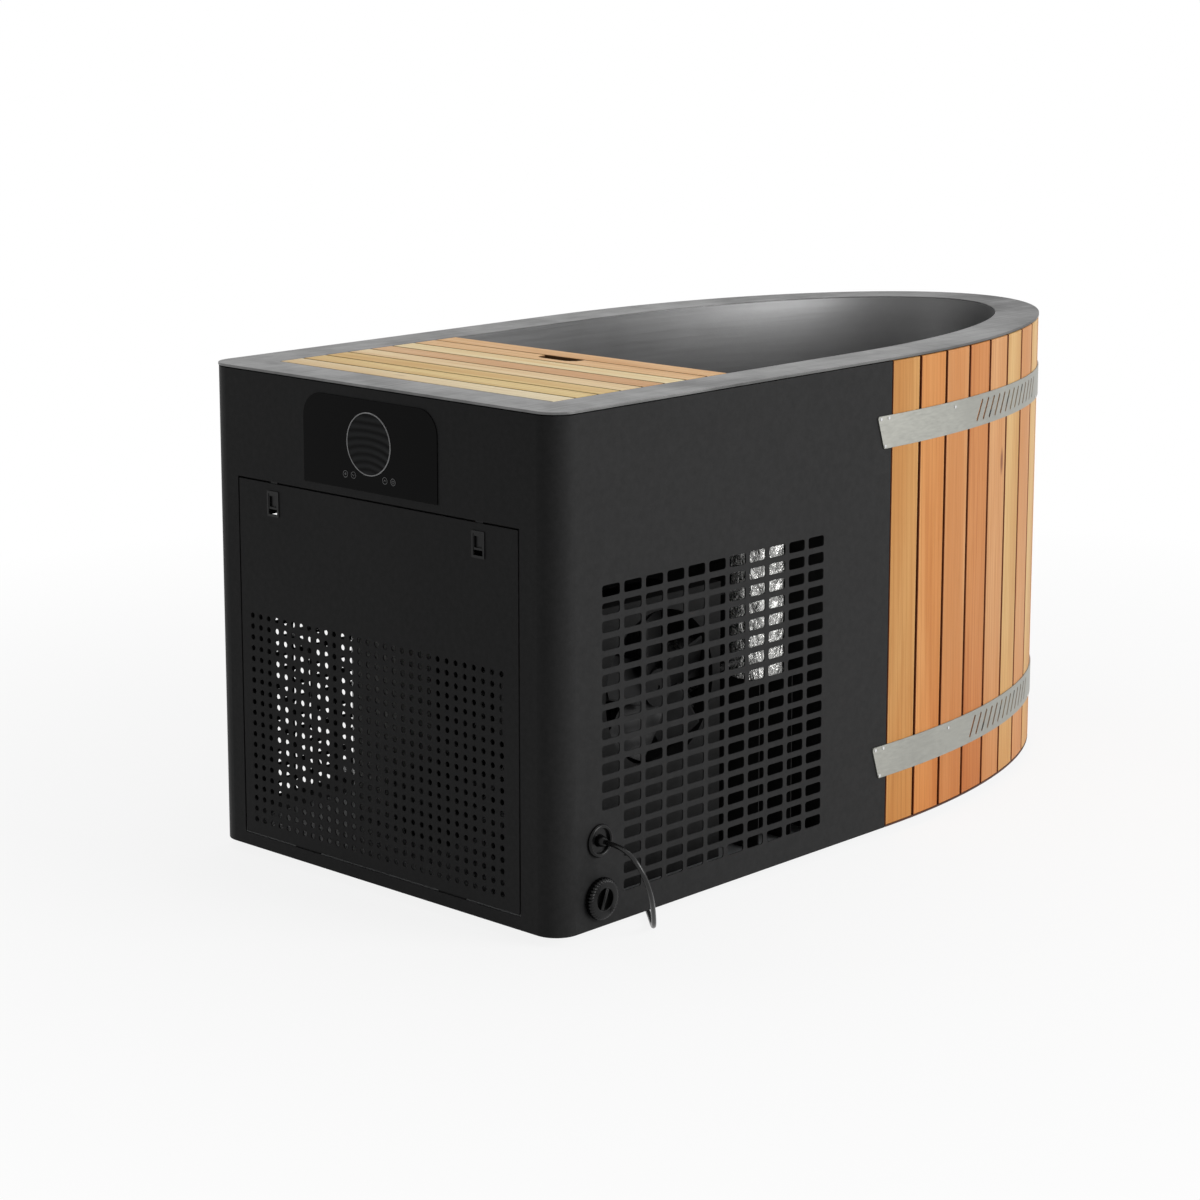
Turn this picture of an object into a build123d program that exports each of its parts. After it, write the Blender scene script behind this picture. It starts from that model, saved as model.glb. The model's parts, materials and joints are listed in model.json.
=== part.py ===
from build123d import *
import os
from math import atan2, cos, degrees, hypot, pi, radians, sin, sqrt, tan

# Cold plunge tub with a built-in water chiller.
# Millimetres, +Z up, X along the length with the chiller at -X.
# The origin is on the floor under the middle of the tub.

# Overall sizes
LENGTH = 1600
WIDTH = 790
BODY_HEIGHT = 804
FOOT_GAP = 16
STRAIGHT_LENGTH = 804
CORNER_R = 42

# Clearances
SEAT_GAP = 0.3
SCREW_CLEARANCE = 0.2

# Rim
RIM_SHEET = 2
RIM_LIP = 4
RIM_END = 81
RIM_SIDE = 84
RIM_FAR = 88
RIM_OVERHANG = 1
RIM_SHADOW_GAP = 2
RIM_INNER_EDGE_R = 1.4
RIM_OUTER_EDGE_R = 0.8

# Casing
CASING_SHEET = 2
CASING_LENGTH = 802
WOOD_JOINT = 2.5

# Side grilles
SLOT_COLUMNS = 11
SLOT_ROWS = 18
SLOT_SHORT_ROWS = 13
SLOT_LENGTH = 39.4
SLOT_HEIGHT = 18.2
SLOT_CORNER_R = 4.5
SLOT_PITCH_X = 48.7
SLOT_PITCH_Z = 27.6
SLOT_FIRST_X = 99.4
SLOT_TOP_Z = 532
FAR_SLOT_COLUMNS = 5
FAR_SLOT_FIRST_X = 122

# Service door
DOOR_WIDTH = 637
DOOR_BOTTOM = 24
DOOR_HEIGHT = 596
DOOR_CENTRE_Y = 4
DOOR_GAP = 3
DOOR_FLANGE = 16
DOOR_TAB_WIDTH = 60
DOOR_TAB_DROP = 7
DOOR_TAB_INSET = 150
DOOR_HOLE_D = 9.5
DOOR_HOLE_COLUMNS = 30
DOOR_HOLE_ROWS = 20
DOOR_HOLE_PITCH_Y = 19.8
DOOR_HOLE_PITCH_Z = 18.2
DOOR_HOLE_TOP = 394.5
DOOR_HOLE_CENTRE_Y = 9

# Door latches
LATCH_SPREAD = 235
LATCH_CENTRE_Z = 587
LATCH_WIDTH = 28
LATCH_HEIGHT = 42
LATCH_BEZEL = 1.5
LATCH_WINDOW_WIDTH = 20.4
LATCH_WINDOW_HEIGHT = 33.6
LATCH_FACE_HEIGHT = 25
LATCH_POCKET_WIDTH = 16.4
LATCH_POCKET_HEIGHT = 18
LATCH_POCKET_DEPTH = 5
LATCH_FACE_PROUD = 0.8
LATCH_WING = 3
LATCH_TONGUE_WIDTH = 16
LATCH_TONGUE_REACH = 4

# Control panel and display
PANEL_WIDTH = 305
PANEL_HEIGHT = 145
PANEL_BOTTOM = 636
PANEL_CENTRE_Y = 8
PANEL_SHEET = 1.5
PANEL_CORNER_R = 24
DISPLAY_D = 100
DISPLAY_CENTRE_Z = 712
DISPLAY_RING_WIDTH = 1.6
DISPLAY_RING_PROUD = 1.2
DISPLAY_LENS_THICKNESS = 1.0
ICON_D = 13
ICON_Z = 659
ICON_OFFSETS = (-54.5, -36, 36, 54.5)
ICON_THICKNESS = 0.3
CONTROL_BOX_DEPTH = 50
CONTROL_BOX_MARGIN = 12

# Staves and bands
STAVE_COUNT = 24
STAVE_GAP = 4.5
STAVE_THICKNESS = 20
STAVE_EDGE_R = 1.2
STAVES_PER_NODE = 6
BACKING_SHEET = 2
BASE_STRIP = 3
BAND_SHEET = 2
UPPER_BAND_BOTTOM = 654
LOWER_BAND_BOTTOM = 91
BAND_HEIGHT = 55
BAND_END_X = 760
BAND_END_SLANT = 18
BAND_CORNER_R = 4
BAND_SLOT_COUNT = 13
BAND_SLOT_FIRST = 275
BAND_SLOT_PITCH = 24.6
BAND_SLOT_RISE = 34
BAND_SLOT_WIDTH = 5.4
BAND_SLOT_LEAN = 31
BAND_SCREW_HEAD_R = 2.6
BAND_SCREW_HEAD = 1.2
BAND_SCREW_R = 1.4

# Slatted cover
SLAT_COUNT = 8
COVER_LENGTH = 401
SLAT_GAP = 4.2
SLAT_THICKNESS = 20
SLAT_EDGE_R = 1.2
COVER_SIDE_GAP = 2
NOTCH_SLAT = 7
NOTCH_LENGTH = 90
NOTCH_DEPTH = 27
NOTCH_R = 20
BATTEN_WIDTH = 40
BATTEN_THICKNESS = 16
BATTEN_SPREAD = 225
BATTEN_END_INSET = 40
COVER_SCREW_R = 2
COVER_SCREW_HEAD_R = 4
COVER_SCREW_HEAD = 3
COVER_SCREW_BITE = 12
LEDGE_WIDTH = 14
LEDGE_SHEET = 2

# Basin
BASIN_SHEET = 2
BASIN_FLOOR_Z = 94
SEAT_Z = 590
WALL_UNDER_COVER = 12
WELL_SETBACK = 210
BASIN_FLOOR_R = 20
DRAIN_OFFSET = 90
DRAIN_HOLE_R = 22
STRAINER_R = 38
STRAINER_SHEET = 2.5
STRAINER_HOLE_R = 2.5
SUMP_OUTLET_R = 13
SUMP_REACH = 38
NOZZLE_SPREAD = 150
SUCTION_Z = 190
RETURN_Z = 420
NOZZLE_R = 17
NOZZLE_REACH = 8
NOZZLE_FLANGE_R = 30
NOZZLE_FLANGE = 4
NOZZLE_BORE_R = 13
DRAIN_CHANNEL_HALF = 24
DRAIN_CHANNEL_END = 40
FOAM_TOP_DROP = 24
FOAM_THICKNESS = 26
BULKHEAD_SHEET = 1.5

# Base
BEARER_WIDTH = 40
BEARER_HEIGHT = 20
BEARER_WALL = 2
BEARER_FIRST = 64
BEARER_PITCH = 320
BEARER_COUNT = 5
PAN_SHEET = 2
FOOT_PAD_R = 25
FOOT_PAD = 7
FOOT_STEM_R = 5
FOOT_STEM_TOP = 14
FOOT_NUT_ACROSS = 17
FOOT_INSET = 62

# Drain knob and valve
KNOB_X = 94
KNOB_Z = 47
KNOB_R = 33
KNOB_THICKNESS = 12
KNOB_RIBS = 36
KNOB_GROOVE_R = 1.3
KNOB_RECESS_R = 17.5
KNOB_RECESS = 8
KNOB_BAR_WIDTH = 7
KNOB_BAR_LEAN = 22
KNOB_BACK_GAP = 0.6
KNOB_SPIGOT_R = 12
KNOB_SPIGOT_LENGTH = 26
VALVE_R = 19
VALVE_FLANGE_R = 26
VALVE_FLANGE = 3
VALVE_LENGTH = 58
DRAIN_HOSE_R = 14
DRAIN_HOSE_BORE_R = 10
HOSE_BEND_R = 70

# Cable grommet, cord, coil and plug
GROMMET_X = 93
GROMMET_Z = 138
GROMMET_R = 26
GROMMET_LIP = 5
GROMMET_BARREL_R = 21
GROMMET_RECESS_R = 17
GROMMET_RECESS = 6
RELIEF_LENGTH = 22
RELIEF_ROOT_R = 8
RELIEF_TIP_R = 6
CORD_D = 7.8
FLOOR_GAP = 0.1
COIL_OUTER_R = 55
COIL_PITCH = 8.6
COIL_HALF_TURNS = 5
COIL_TAIL = 48
PLUG_LENGTH = 42
PLUG_WIDTH = 34
PLUG_NOSE = 14
PLUG_BLADE_LENGTH = 16
PLUG_BLADE_WIDTH = 6.4
PLUG_BLADE_SHEET = 1.5
PLUG_BLADE_SPREAD = 12.7
PLUG_GROUND_R = 2.4
PLUG_GROUND_DROP = 7

# Chiller and plumbing
FAN_X = 290
FAN_Z = 330
FAN_R = 118
FAN_TIP_GAP = 7
FAN_BLADES = 5
FAN_BLADE_DEPTH = 22
FAN_BLADE_CHORD = 74
FAN_BLADE_SHEET = 2.5
FAN_BLADE_PITCH = 24
FAN_HUB_R = 30
SHROUD_WIDTH = 286
SHROUD_TOP = 478
SHROUD_FACE_Y = 340
SHROUD_DEPTH = 34
SHROUD_SHEET = 2
MOTOR_R = 38
MOTOR_LENGTH = 58
MOTOR_SHAFT_R = 4
SHAFT_CLEARANCE = 0.05
MOTOR_ARM = 10
CONDENSER_Y = 228
CONDENSER_DEPTH = 40
CONDENSER_WIDTH = 262
CONDENSER_HEIGHT = 270
CONDENSER_BOTTOM = 190
CONDENSER_PLATE = 3
COMPRESSOR_X = 500
COMPRESSOR_Y = 130
COMPRESSOR_R = 74
COMPRESSOR_HEIGHT = 235
COMPRESSOR_DOME_R = 26
COMPRESSOR_PLATE = 3
COMPRESSOR_PLATE_R = 95
MOUNT_R = 13
MOUNT_HEIGHT = 16
MOUNT_CIRCLE_R = 78
EXCHANGER_X = 541
EXCHANGER_Y = 325
EXCHANGER_R = 46
EXCHANGER_BOTTOM = 304
EXCHANGER_HEIGHT = 248
EXCHANGER_END_R = 16
EXCHANGER_INLET_Z = 356
EXCHANGER_OUTLET_Z = 520
STAND_SHEET = 2
STAND_WIDTH = 84
PUMP_X = 200
PUMP_Y = 60
PUMP_R = 52
PUMP_LENGTH = 150
PUMP_AXIS_Z = 120
PUMP_HEAD_R = 64
PUMP_HEAD_LENGTH = 46
PUMP_FOOT_WIDTH = 90
PUMP_FOOT_TOP = 89
FILTER_X = 250
FILTER_Y = 235
FILTER_R = 66
FILTER_TOP = 640
FILTER_NECK_R = 54
FILTER_NECK = 22
FILTER_LID_R = 72
FILTER_LID = 34
FILTER_LID_RIBS = 24
PIPE_R = 16
PIPE_BORE_R = 11
PIPE_BEND_R = 34
COPPER_R = 5
COPPER_BEND_R = 22

# Levels and lines that follow from the sizes above
END_X = -LENGTH / 2
HALF_WIDTH = WIDTH / 2
OVAL_X = END_X + STRAIGHT_LENGTH
OVAL_A = LENGTH / 2 - OVAL_X
BASE_Z = FOOT_GAP
TOP_Z = FOOT_GAP + BODY_HEIGHT
CASING_TOP = TOP_Z - RIM_LIP - RIM_SHADOW_GAP
CASING_IN = RIM_OVERHANG + CASING_SHEET
CASING_FACE_Y = HALF_WIDTH - RIM_OVERHANG
CASING_BACK_Y = HALF_WIDTH - CASING_IN
FACE_X = END_X + RIM_OVERHANG
BACK_X = END_X + CASING_IN
WOOD_X = END_X + CASING_LENGTH
STAVE_BACK_IN = RIM_OVERHANG + STAVE_THICKNESS
BACKING_OUT = STAVE_BACK_IN + SEAT_GAP
BACKING_IN = BACKING_OUT + BACKING_SHEET
CORE_IN = BACKING_IN + SEAT_GAP
PAN_Z = BASE_Z + BEARER_HEIGHT
ROOM_Z = PAN_Z + PAN_SHEET
STAND_Z = ROOM_Z + SEAT_GAP
MOUTH_X = END_X + RIM_END
MOUTH_HALF = HALF_WIDTH - RIM_SIDE
MOUTH_A = OVAL_A - RIM_FAR
COVER_X = MOUTH_X + COVER_LENGTH
BASIN_X = COVER_X - WALL_UNDER_COVER
WELL_X = BASIN_X + WELL_SETBACK
BULKHEAD_X = WELL_X - BASIN_SHEET - FOAM_THICKNESS - BULKHEAD_SHEET - 2 * SEAT_GAP
SLAT_PITCH = COVER_LENGTH / SLAT_COUNT
SLAT_WIDTH = SLAT_PITCH - SLAT_GAP
SLAT_BOTTOM = TOP_Z - SLAT_THICKNESS
LEDGE_TOP = SLAT_BOTTOM - SEAT_GAP
DRAIN_X = WELL_X + DRAIN_OFFSET
PLUG_THICKNESS = 2 * (CORD_D / 2 + FLOOR_GAP + COIL_PITCH)

FAR = 2000


def box(x0, x1, y0, y1, z0, z1):
    """A box between two corners."""
    centre = ((x0 + x1) / 2, (y0 + y1) / 2, (z0 + z1) / 2)
    return Pos(*centre) * Box(x1 - x0, y1 - y0, z1 - z0)


def rod_x(y, z, radius, x0, x1):
    """A round bar along X."""
    return Pos((x0 + x1) / 2, y, z) * Rot(0, 90, 0) * Cylinder(radius, x1 - x0)


def rod_y(x, z, radius, y0, y1):
    """A round bar along Y."""
    return Pos(x, (y0 + y1) / 2, z) * Rot(90, 0, 0) * Cylinder(radius, y1 - y0)


def rod_z(x, y, radius, z0, z1):
    """A round bar along Z."""
    return Pos(x, y, (z0 + z1) / 2) * Cylinder(radius, z1 - z0)


def slab(face, z0, z1):
    """A flat outline given a thickness between two levels."""
    return Pos(0, 0, z0) * extrude(face, z1 - z0)


def bend_radii(points):
    """The largest arc that each corner of a route leaves room for."""
    radii = []
    for a, b, c in zip(points, points[1:], points[2:]):
        first = Vector(*b) - Vector(*a)
        second = Vector(*c) - Vector(*b)
        turn = radians(first.get_angle(second))
        radii.append(0.45 * min(first.length, second.length) / tan(turn / 2))
    return radii


def tube(points, bend, radius, bore=0):
    """A pipe along straight runs that are joined by arcs, no larger than the bend."""
    path = FilletPolyline(*points, radius=[min(bend, room) for room in bend_radii(points)])
    section = Circle(radius) - Circle(bore) if bore else Circle(radius)
    return sweep(Plane(origin=path @ 0, z_dir=path % 0) * section, path)


def outline(start_x, half, oval, corner=0):
    """The tub seen from above: a straight part that ends in half an ellipse."""
    with BuildSketch() as sketch:
        with BuildLine():
            EllipticalCenterArc((OVAL_X, 0), oval, half, start_angle=-90, arc_size=180)
            Polyline((OVAL_X, half), (start_x, half), (start_x, -half), (OVAL_X, -half))
        make_face()
        if corner > 0:
            fillet(sketch.vertices().sort_by(Axis.X)[:2], corner)
    return sketch.sketch


def body_outline(inset):
    """The outside of the tub, drawn in by an inset."""
    corner = max(CORNER_R - inset, 0)
    return outline(END_X + inset, HALF_WIDTH - inset, OVAL_A - inset, corner)


def mouth_outline(grow=0, start_x=None):
    """The opening in the rim, or the part of it past start_x."""
    start = MOUTH_X if start_x is None else start_x
    return outline(start - grow, MOUTH_HALF + grow, MOUTH_A + grow)


def body_shell(inset_out, inset_in, z0, z1):
    """A standing wall that follows the outside of the tub."""
    return slab(body_outline(inset_out) - body_outline(inset_in), z0, z1)


def half_width_at(x, inset):
    """Half the width of the tub at x, drawn in by an inset."""
    if x <= OVAL_X:
        return HALF_WIDTH - inset
    return (HALF_WIDTH - inset) * sqrt(1 - ((x - OVAL_X) / (OVAL_A - inset)) ** 2)


ARC_STEPS = 3000


def wood_line():
    """Distance along the wood face, with its points, from the joint round to the other joint."""
    points = [(WOOD_X, -CASING_FACE_Y)]
    for step in range(ARC_STEPS + 1):
        angle = -pi / 2 + pi * step / ARC_STEPS
        x = OVAL_X + (OVAL_A - RIM_OVERHANG) * cos(angle)
        points.append((x, CASING_FACE_Y * sin(angle)))
    points.append((WOOD_X, CASING_FACE_Y))
    lengths = [0]
    for a, b in zip(points, points[1:]):
        lengths.append(lengths[-1] + hypot(b[0] - a[0], b[1] - a[1]))
    return lengths, points


WOOD_LENGTHS, WOOD_POINTS = wood_line()
WOOD_LENGTH = WOOD_LENGTHS[-1]


def on_wood(distance):
    """A point on the wood face and its heading; before the joint it lies on the casing."""
    if distance <= 0:
        return WOOD_X + distance, -CASING_FACE_Y, 0
    low = 0
    high = len(WOOD_LENGTHS) - 1
    while high - low > 1:
        middle = (low + high) // 2
        if WOOD_LENGTHS[middle] <= distance:
            low = middle
        else:
            high = middle
    (xa, ya), (xb, yb) = WOOD_POINTS[low], WOOD_POINTS[high]
    share = (distance - WOOD_LENGTHS[low]) / (WOOD_LENGTHS[high] - WOOD_LENGTHS[low])
    return xa + share * (xb - xa), ya + share * (yb - ya), degrees(atan2(yb - ya, xb - xa))


def skin_plane(distance, z):
    """A plane on the wood face: x along it, y up, z outwards."""
    x, y, heading = on_wood(distance)
    along = Vector(cos(radians(heading)), sin(radians(heading)), 0)
    outwards = Vector(sin(radians(heading)), -cos(radians(heading)), 0)
    return Plane(origin=(x, y, z), x_dir=along, z_dir=outwards)


def make_rim_deck():
    """Stainless rim: a flat sheet with a lip turned down round the outside."""
    plate = slab(body_outline(0) - mouth_outline(), TOP_Z - RIM_SHEET, TOP_Z)
    lip = body_shell(0, RIM_SHEET, TOP_Z - RIM_LIP, TOP_Z - RIM_SHEET)
    deck = plate + lip
    top_edges = deck.faces().sort_by(Axis.Z)[-1]
    deck = fillet(top_edges.outer_wire().edges(), RIM_OUTER_EDGE_R)
    inner = deck.faces().sort_by(Axis.Z)[-1].inner_wires()[0].edges()
    return fillet(inner, RIM_INNER_EDGE_R)


def basin_block(grow, top):
    """The room that the basin fills, with the seat over the chiller."""
    well = slab(mouth_outline(grow, WELL_X), BASIN_FLOOR_Z - grow, top)
    floor_edges = well.faces().sort_by(Axis.Z)[0].edges()
    well = fillet(floor_edges, BASIN_FLOOR_R + grow)
    seat = box(BASIN_X - grow, WELL_X + BASIN_FLOOR_R, -MOUTH_HALF - grow, MOUTH_HALF + grow,
               SEAT_Z - grow, top)
    return well + seat


def make_basin_shell():
    """Welded stainless basin: deep well, seat, and holes for drain and nozzles."""
    rim_bottom = TOP_Z - RIM_SHEET
    shell = basin_block(BASIN_SHEET, rim_bottom) - basin_block(0, rim_bottom + BASIN_SHEET)
    shell -= box(BASIN_X - BASIN_SHEET - 1, COVER_X + 1, -MOUTH_HALF, MOUTH_HALF, LEDGE_TOP, TOP_Z)
    shell -= rod_z(DRAIN_X, 0, DRAIN_HOLE_R, BASIN_FLOOR_Z - 10, BASIN_FLOOR_Z + 10)
    for y, z in nozzle_places():
        shell -= rod_x(y, z, NOZZLE_R + SEAT_GAP, WELL_X - 10, WELL_X + 10)
    return shell


def nozzle_places():
    """Where the suction and return nozzles pass through the end of the well."""
    return ((-NOZZLE_SPREAD, SUCTION_Z), (NOZZLE_SPREAD, RETURN_Z))


def make_insulation():
    """Foam between the basin and the backing, with a channel for the drain pipe."""
    start = WELL_X - BASIN_SHEET - FOAM_THICKNESS - SEAT_GAP
    foam = slab(outline(start, HALF_WIDTH - CORE_IN, OVAL_A - CORE_IN), STAND_Z, CASING_TOP - FOAM_TOP_DROP)
    foam -= basin_block(BASIN_SHEET + SEAT_GAP, TOP_Z)
    channel = DRAIN_CHANNEL_HALF
    foam -= box(start - 1, DRAIN_X + DRAIN_CHANNEL_END, -channel, channel, STAND_Z - 1, BASIN_FLOOR_Z)
    for y, z in nozzle_places():
        foam -= rod_x(y, z, NOZZLE_R + SEAT_GAP, start - 5, WELL_X)
    return foam


def make_bulkhead():
    """Sheet wall between the chiller room and the foam."""
    x0, x1 = BULKHEAD_X, BULKHEAD_X + BULKHEAD_SHEET
    reach = CASING_BACK_Y - SEAT_GAP
    wall = box(x0, x1, -reach, reach, STAND_Z, SEAT_Z - BASIN_SHEET - SEAT_GAP)
    wall -= box(x0 - 1, x1 + 1, -DRAIN_CHANNEL_HALF, DRAIN_CHANNEL_HALF, STAND_Z - 1, BASIN_FLOOR_Z)
    for y, z in nozzle_places():
        wall -= rod_x(y, z, NOZZLE_R + SEAT_GAP, x0 - 1, x1 + 1)
    return wall


def make_water_nozzles():
    """Suction and return nozzles: a flange in the basin and a spigot into the chiller room."""
    parts = []
    for y, z in nozzle_places():
        flange = rod_x(y, z, NOZZLE_FLANGE_R, WELL_X + SEAT_GAP, WELL_X + NOZZLE_FLANGE)
        spigot = rod_x(y, z, NOZZLE_R, BULKHEAD_X - NOZZLE_REACH, WELL_X + NOZZLE_FLANGE)
        bore = rod_x(y, z, NOZZLE_BORE_R, BULKHEAD_X - NOZZLE_REACH - 1, FAR)
        parts.append(flange + spigot - bore)
    return parts


def make_drain_strainer():
    """Perforated disc over the drain, on a sump cup with a side outlet."""
    z0 = BASIN_FLOOR_Z + SEAT_GAP
    hose_z = BASE_Z + KNOB_Z
    disc = rod_z(DRAIN_X, 0, STRAINER_R, z0, z0 + STRAINER_SHEET)
    holes = [rod_z(DRAIN_X, 0, STRAINER_HOLE_R, z0 - 1, z0 + 9)]
    for count, radius in ((6, 7.5), (12, 14.5)):
        for index in range(count):
            angle = 2 * pi * index / count
            x, y = DRAIN_X + radius * cos(angle), radius * sin(angle)
            holes.append(rod_z(x, y, STRAINER_HOLE_R, z0 - 1, z0 + 9))
    cup_r = DRAIN_HOLE_R - SEAT_GAP
    cup_bottom = hose_z - SUMP_OUTLET_R - 3
    cup = rod_z(DRAIN_X, 0, cup_r, cup_bottom, z0)
    cup += rod_x(0, hose_z, SUMP_OUTLET_R, DRAIN_X - SUMP_REACH, DRAIN_X)
    cup -= rod_z(DRAIN_X, 0, cup_r - 3, cup_bottom + 3, z0)
    cup -= rod_x(0, hose_z, DRAIN_HOSE_BORE_R, DRAIN_X - SUMP_REACH - 1, DRAIN_X)
    return disc + cup - holes


def punched_sheet(plane, sheet, corners, holes):
    """A flat sheet between two corners of a plane, with holes punched through it."""
    (x0, y0), (x1, y1) = corners
    edge = Polyline((x0, y0), (x1, y0), (x1, y1), (x0, y1), close=True)
    face = Face(Wire(edge.edges()), [hole.face().outer_wire() for hole in holes])
    return extrude(plane * face, sheet)


def grille_slots(first_x, columns, first_rows):
    """The slots of one side grille; the first column may be shorter than the rest."""
    slots = []
    for column in range(columns):
        x = END_X + first_x + SLOT_LENGTH / 2 + column * SLOT_PITCH_X
        for row in range(SLOT_ROWS if column else first_rows):
            z = BASE_Z + SLOT_TOP_Z - SLOT_HEIGHT / 2 - row * SLOT_PITCH_Z
            slots.append(Pos(x, z) * RectangleRounded(SLOT_LENGTH, SLOT_HEIGHT, SLOT_CORNER_R))
    return slots


def make_casing():
    """Black sheet casing: the end with its two bends, and a grille panel for each side."""
    bend_x = END_X + CORNER_R
    wall = body_shell(RIM_OVERHANG, CASING_IN, BASE_Z, CASING_TOP)
    end = wall & box(END_X - 1, bend_x, -FAR, FAR, 0, FAR)
    door_half = DOOR_WIDTH / 2 + DOOR_GAP
    z0 = BASE_Z + DOOR_BOTTOM - DOOR_GAP
    z1 = BASE_Z + DOOR_BOTTOM + DOOR_HEIGHT + DOOR_GAP
    end -= box(END_X - 1, BACK_X + 1, DOOR_CENTRE_Y - door_half, DOOR_CENTRE_Y + door_half, z0, z1)
    z0 = BASE_Z + PANEL_BOTTOM + CONTROL_BOX_MARGIN
    z1 = BASE_Z + PANEL_BOTTOM + PANEL_HEIGHT - CONTROL_BOX_MARGIN
    panel_half = PANEL_WIDTH / 2 - CONTROL_BOX_MARGIN
    end -= box(END_X - 1, BACK_X + 1, PANEL_CENTRE_Y - panel_half, PANEL_CENTRE_Y + panel_half, z0, z1)
    corners = ((bend_x, BASE_Z), (WOOD_X - WOOD_JOINT, CASING_TOP))
    knob_hole = Pos(END_X + KNOB_X, BASE_Z + KNOB_Z) * Circle(KNOB_SPIGOT_R + 1)
    cable_hole = Pos(END_X + GROMMET_X, BASE_Z + GROMMET_Z) * Circle(GROMMET_BARREL_R + SEAT_GAP)
    near_plane = Plane(origin=(0, -CASING_BACK_Y, 0), x_dir=(1, 0, 0), z_dir=(0, -1, 0))
    near_slots = grille_slots(SLOT_FIRST_X, SLOT_COLUMNS, SLOT_SHORT_ROWS)
    near = punched_sheet(near_plane, CASING_SHEET, corners, near_slots + [knob_hole, cable_hole])
    far_plane = Plane(origin=(0, CASING_FACE_Y, 0), x_dir=(1, 0, 0), z_dir=(0, -1, 0))
    far_slots = grille_slots(FAR_SLOT_FIRST_X, FAR_SLOT_COLUMNS, SLOT_ROWS)
    far = punched_sheet(far_plane, CASING_SHEET, corners, far_slots)
    return end, near, far


def latch_places():
    """The middle of each latch across the door."""
    return (DOOR_CENTRE_Y - LATCH_SPREAD, DOOR_CENTRE_Y + LATCH_SPREAD)


def make_service_door():
    """Perforated door: folded edges, two hooked tabs below, windows and slots for the latches."""
    y0, y1 = DOOR_CENTRE_Y - DOOR_WIDTH / 2, DOOR_CENTRE_Y + DOOR_WIDTH / 2
    z0 = BASE_Z + DOOR_BOTTOM
    z1 = z0 + DOOR_HEIGHT
    sheet = CASING_SHEET
    holes = []
    for column in range(DOOR_HOLE_COLUMNS):
        y = DOOR_HOLE_CENTRE_Y + (column - (DOOR_HOLE_COLUMNS - 1) / 2) * DOOR_HOLE_PITCH_Y
        for row in range(DOOR_HOLE_ROWS):
            z = BASE_Z + DOOR_HOLE_TOP - row * DOOR_HOLE_PITCH_Z
            holes.append(Pos(y, z) * Circle(DOOR_HOLE_D / 2))
    for y in latch_places():
        window = Rectangle(LATCH_WINDOW_WIDTH + 2 * SEAT_GAP, LATCH_WINDOW_HEIGHT + 2 * SEAT_GAP)
        holes.append(Pos(y, BASE_Z + LATCH_CENTRE_Z) * window)
    plane = Plane(origin=(FACE_X, 0, 0), x_dir=(0, 1, 0), z_dir=(1, 0, 0))
    door = punched_sheet(plane, sheet, ((y0, z0), (y1, z1)), holes)
    edges = box(BACK_X, FACE_X + DOOR_FLANGE, y0, y1, z0, z1)
    edges -= box(BACK_X - 1, FAR, y0 + sheet, y1 - sheet, z0 + sheet, z1 - sheet)
    tab_x = BACK_X + SEAT_GAP
    for y in (y0 + DOOR_TAB_INSET, y1 - DOOR_TAB_INSET):
        half = DOOR_TAB_WIDTH / 2
        edges += box(tab_x, tab_x + sheet, y - half, y + half, z0 - DOOR_TAB_DROP, z0 + sheet)
    for y in latch_places():
        slot = LATCH_TONGUE_WIDTH / 2 + SEAT_GAP
        edges -= box(BACK_X, tab_x + sheet + SEAT_GAP, y - slot, y + slot, z1 - 10, z1 + 1)
    return door + edges


def make_latch(y):
    """One slide latch: its bezel on the door, and the slider with finger pocket and tongue."""
    z = BASE_Z + LATCH_CENTRE_Z
    bezel = box(FACE_X - LATCH_BEZEL, FACE_X, y - LATCH_WIDTH / 2, y + LATCH_WIDTH / 2,
                z - LATCH_HEIGHT / 2, z + LATCH_HEIGHT / 2)
    bezel = fillet(bezel.edges().filter_by(Axis.X), 2)
    half = LATCH_WINDOW_WIDTH / 2
    top = z + LATCH_WINDOW_HEIGHT / 2
    bezel -= box(END_X - 9, FACE_X + 1, y - half, y + half, z - LATCH_WINDOW_HEIGHT / 2, top)
    face = LATCH_WINDOW_WIDTH / 2 - SEAT_GAP
    wing_x = BACK_X + SEAT_GAP
    z1 = top - SEAT_GAP
    z0 = z1 - LATCH_FACE_HEIGHT
    slider = box(FACE_X - LATCH_FACE_PROUD, wing_x + CASING_SHEET, y - face, y + face, z0, z1)
    pocket = LATCH_POCKET_WIDTH / 2
    middle = (z0 + z1) / 2
    pocket_end = FACE_X - LATCH_FACE_PROUD + LATCH_POCKET_DEPTH
    slider -= box(END_X - 9, pocket_end, y - pocket, y + pocket,
                  middle - LATCH_POCKET_HEIGHT / 2, middle + LATCH_POCKET_HEIGHT / 2)
    wing = face + LATCH_WING
    slider += box(wing_x, wing_x + CASING_SHEET, y - wing, y + wing, z0 + 2, z1)
    tongue_top = BASE_Z + DOOR_BOTTOM + DOOR_HEIGHT + DOOR_GAP + LATCH_TONGUE_REACH
    tongue = LATCH_TONGUE_WIDTH / 2
    slider += box(wing_x, wing_x + CASING_SHEET, y - tongue, y + tongue, z0 + 2, tongue_top)
    return bezel, slider


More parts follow.
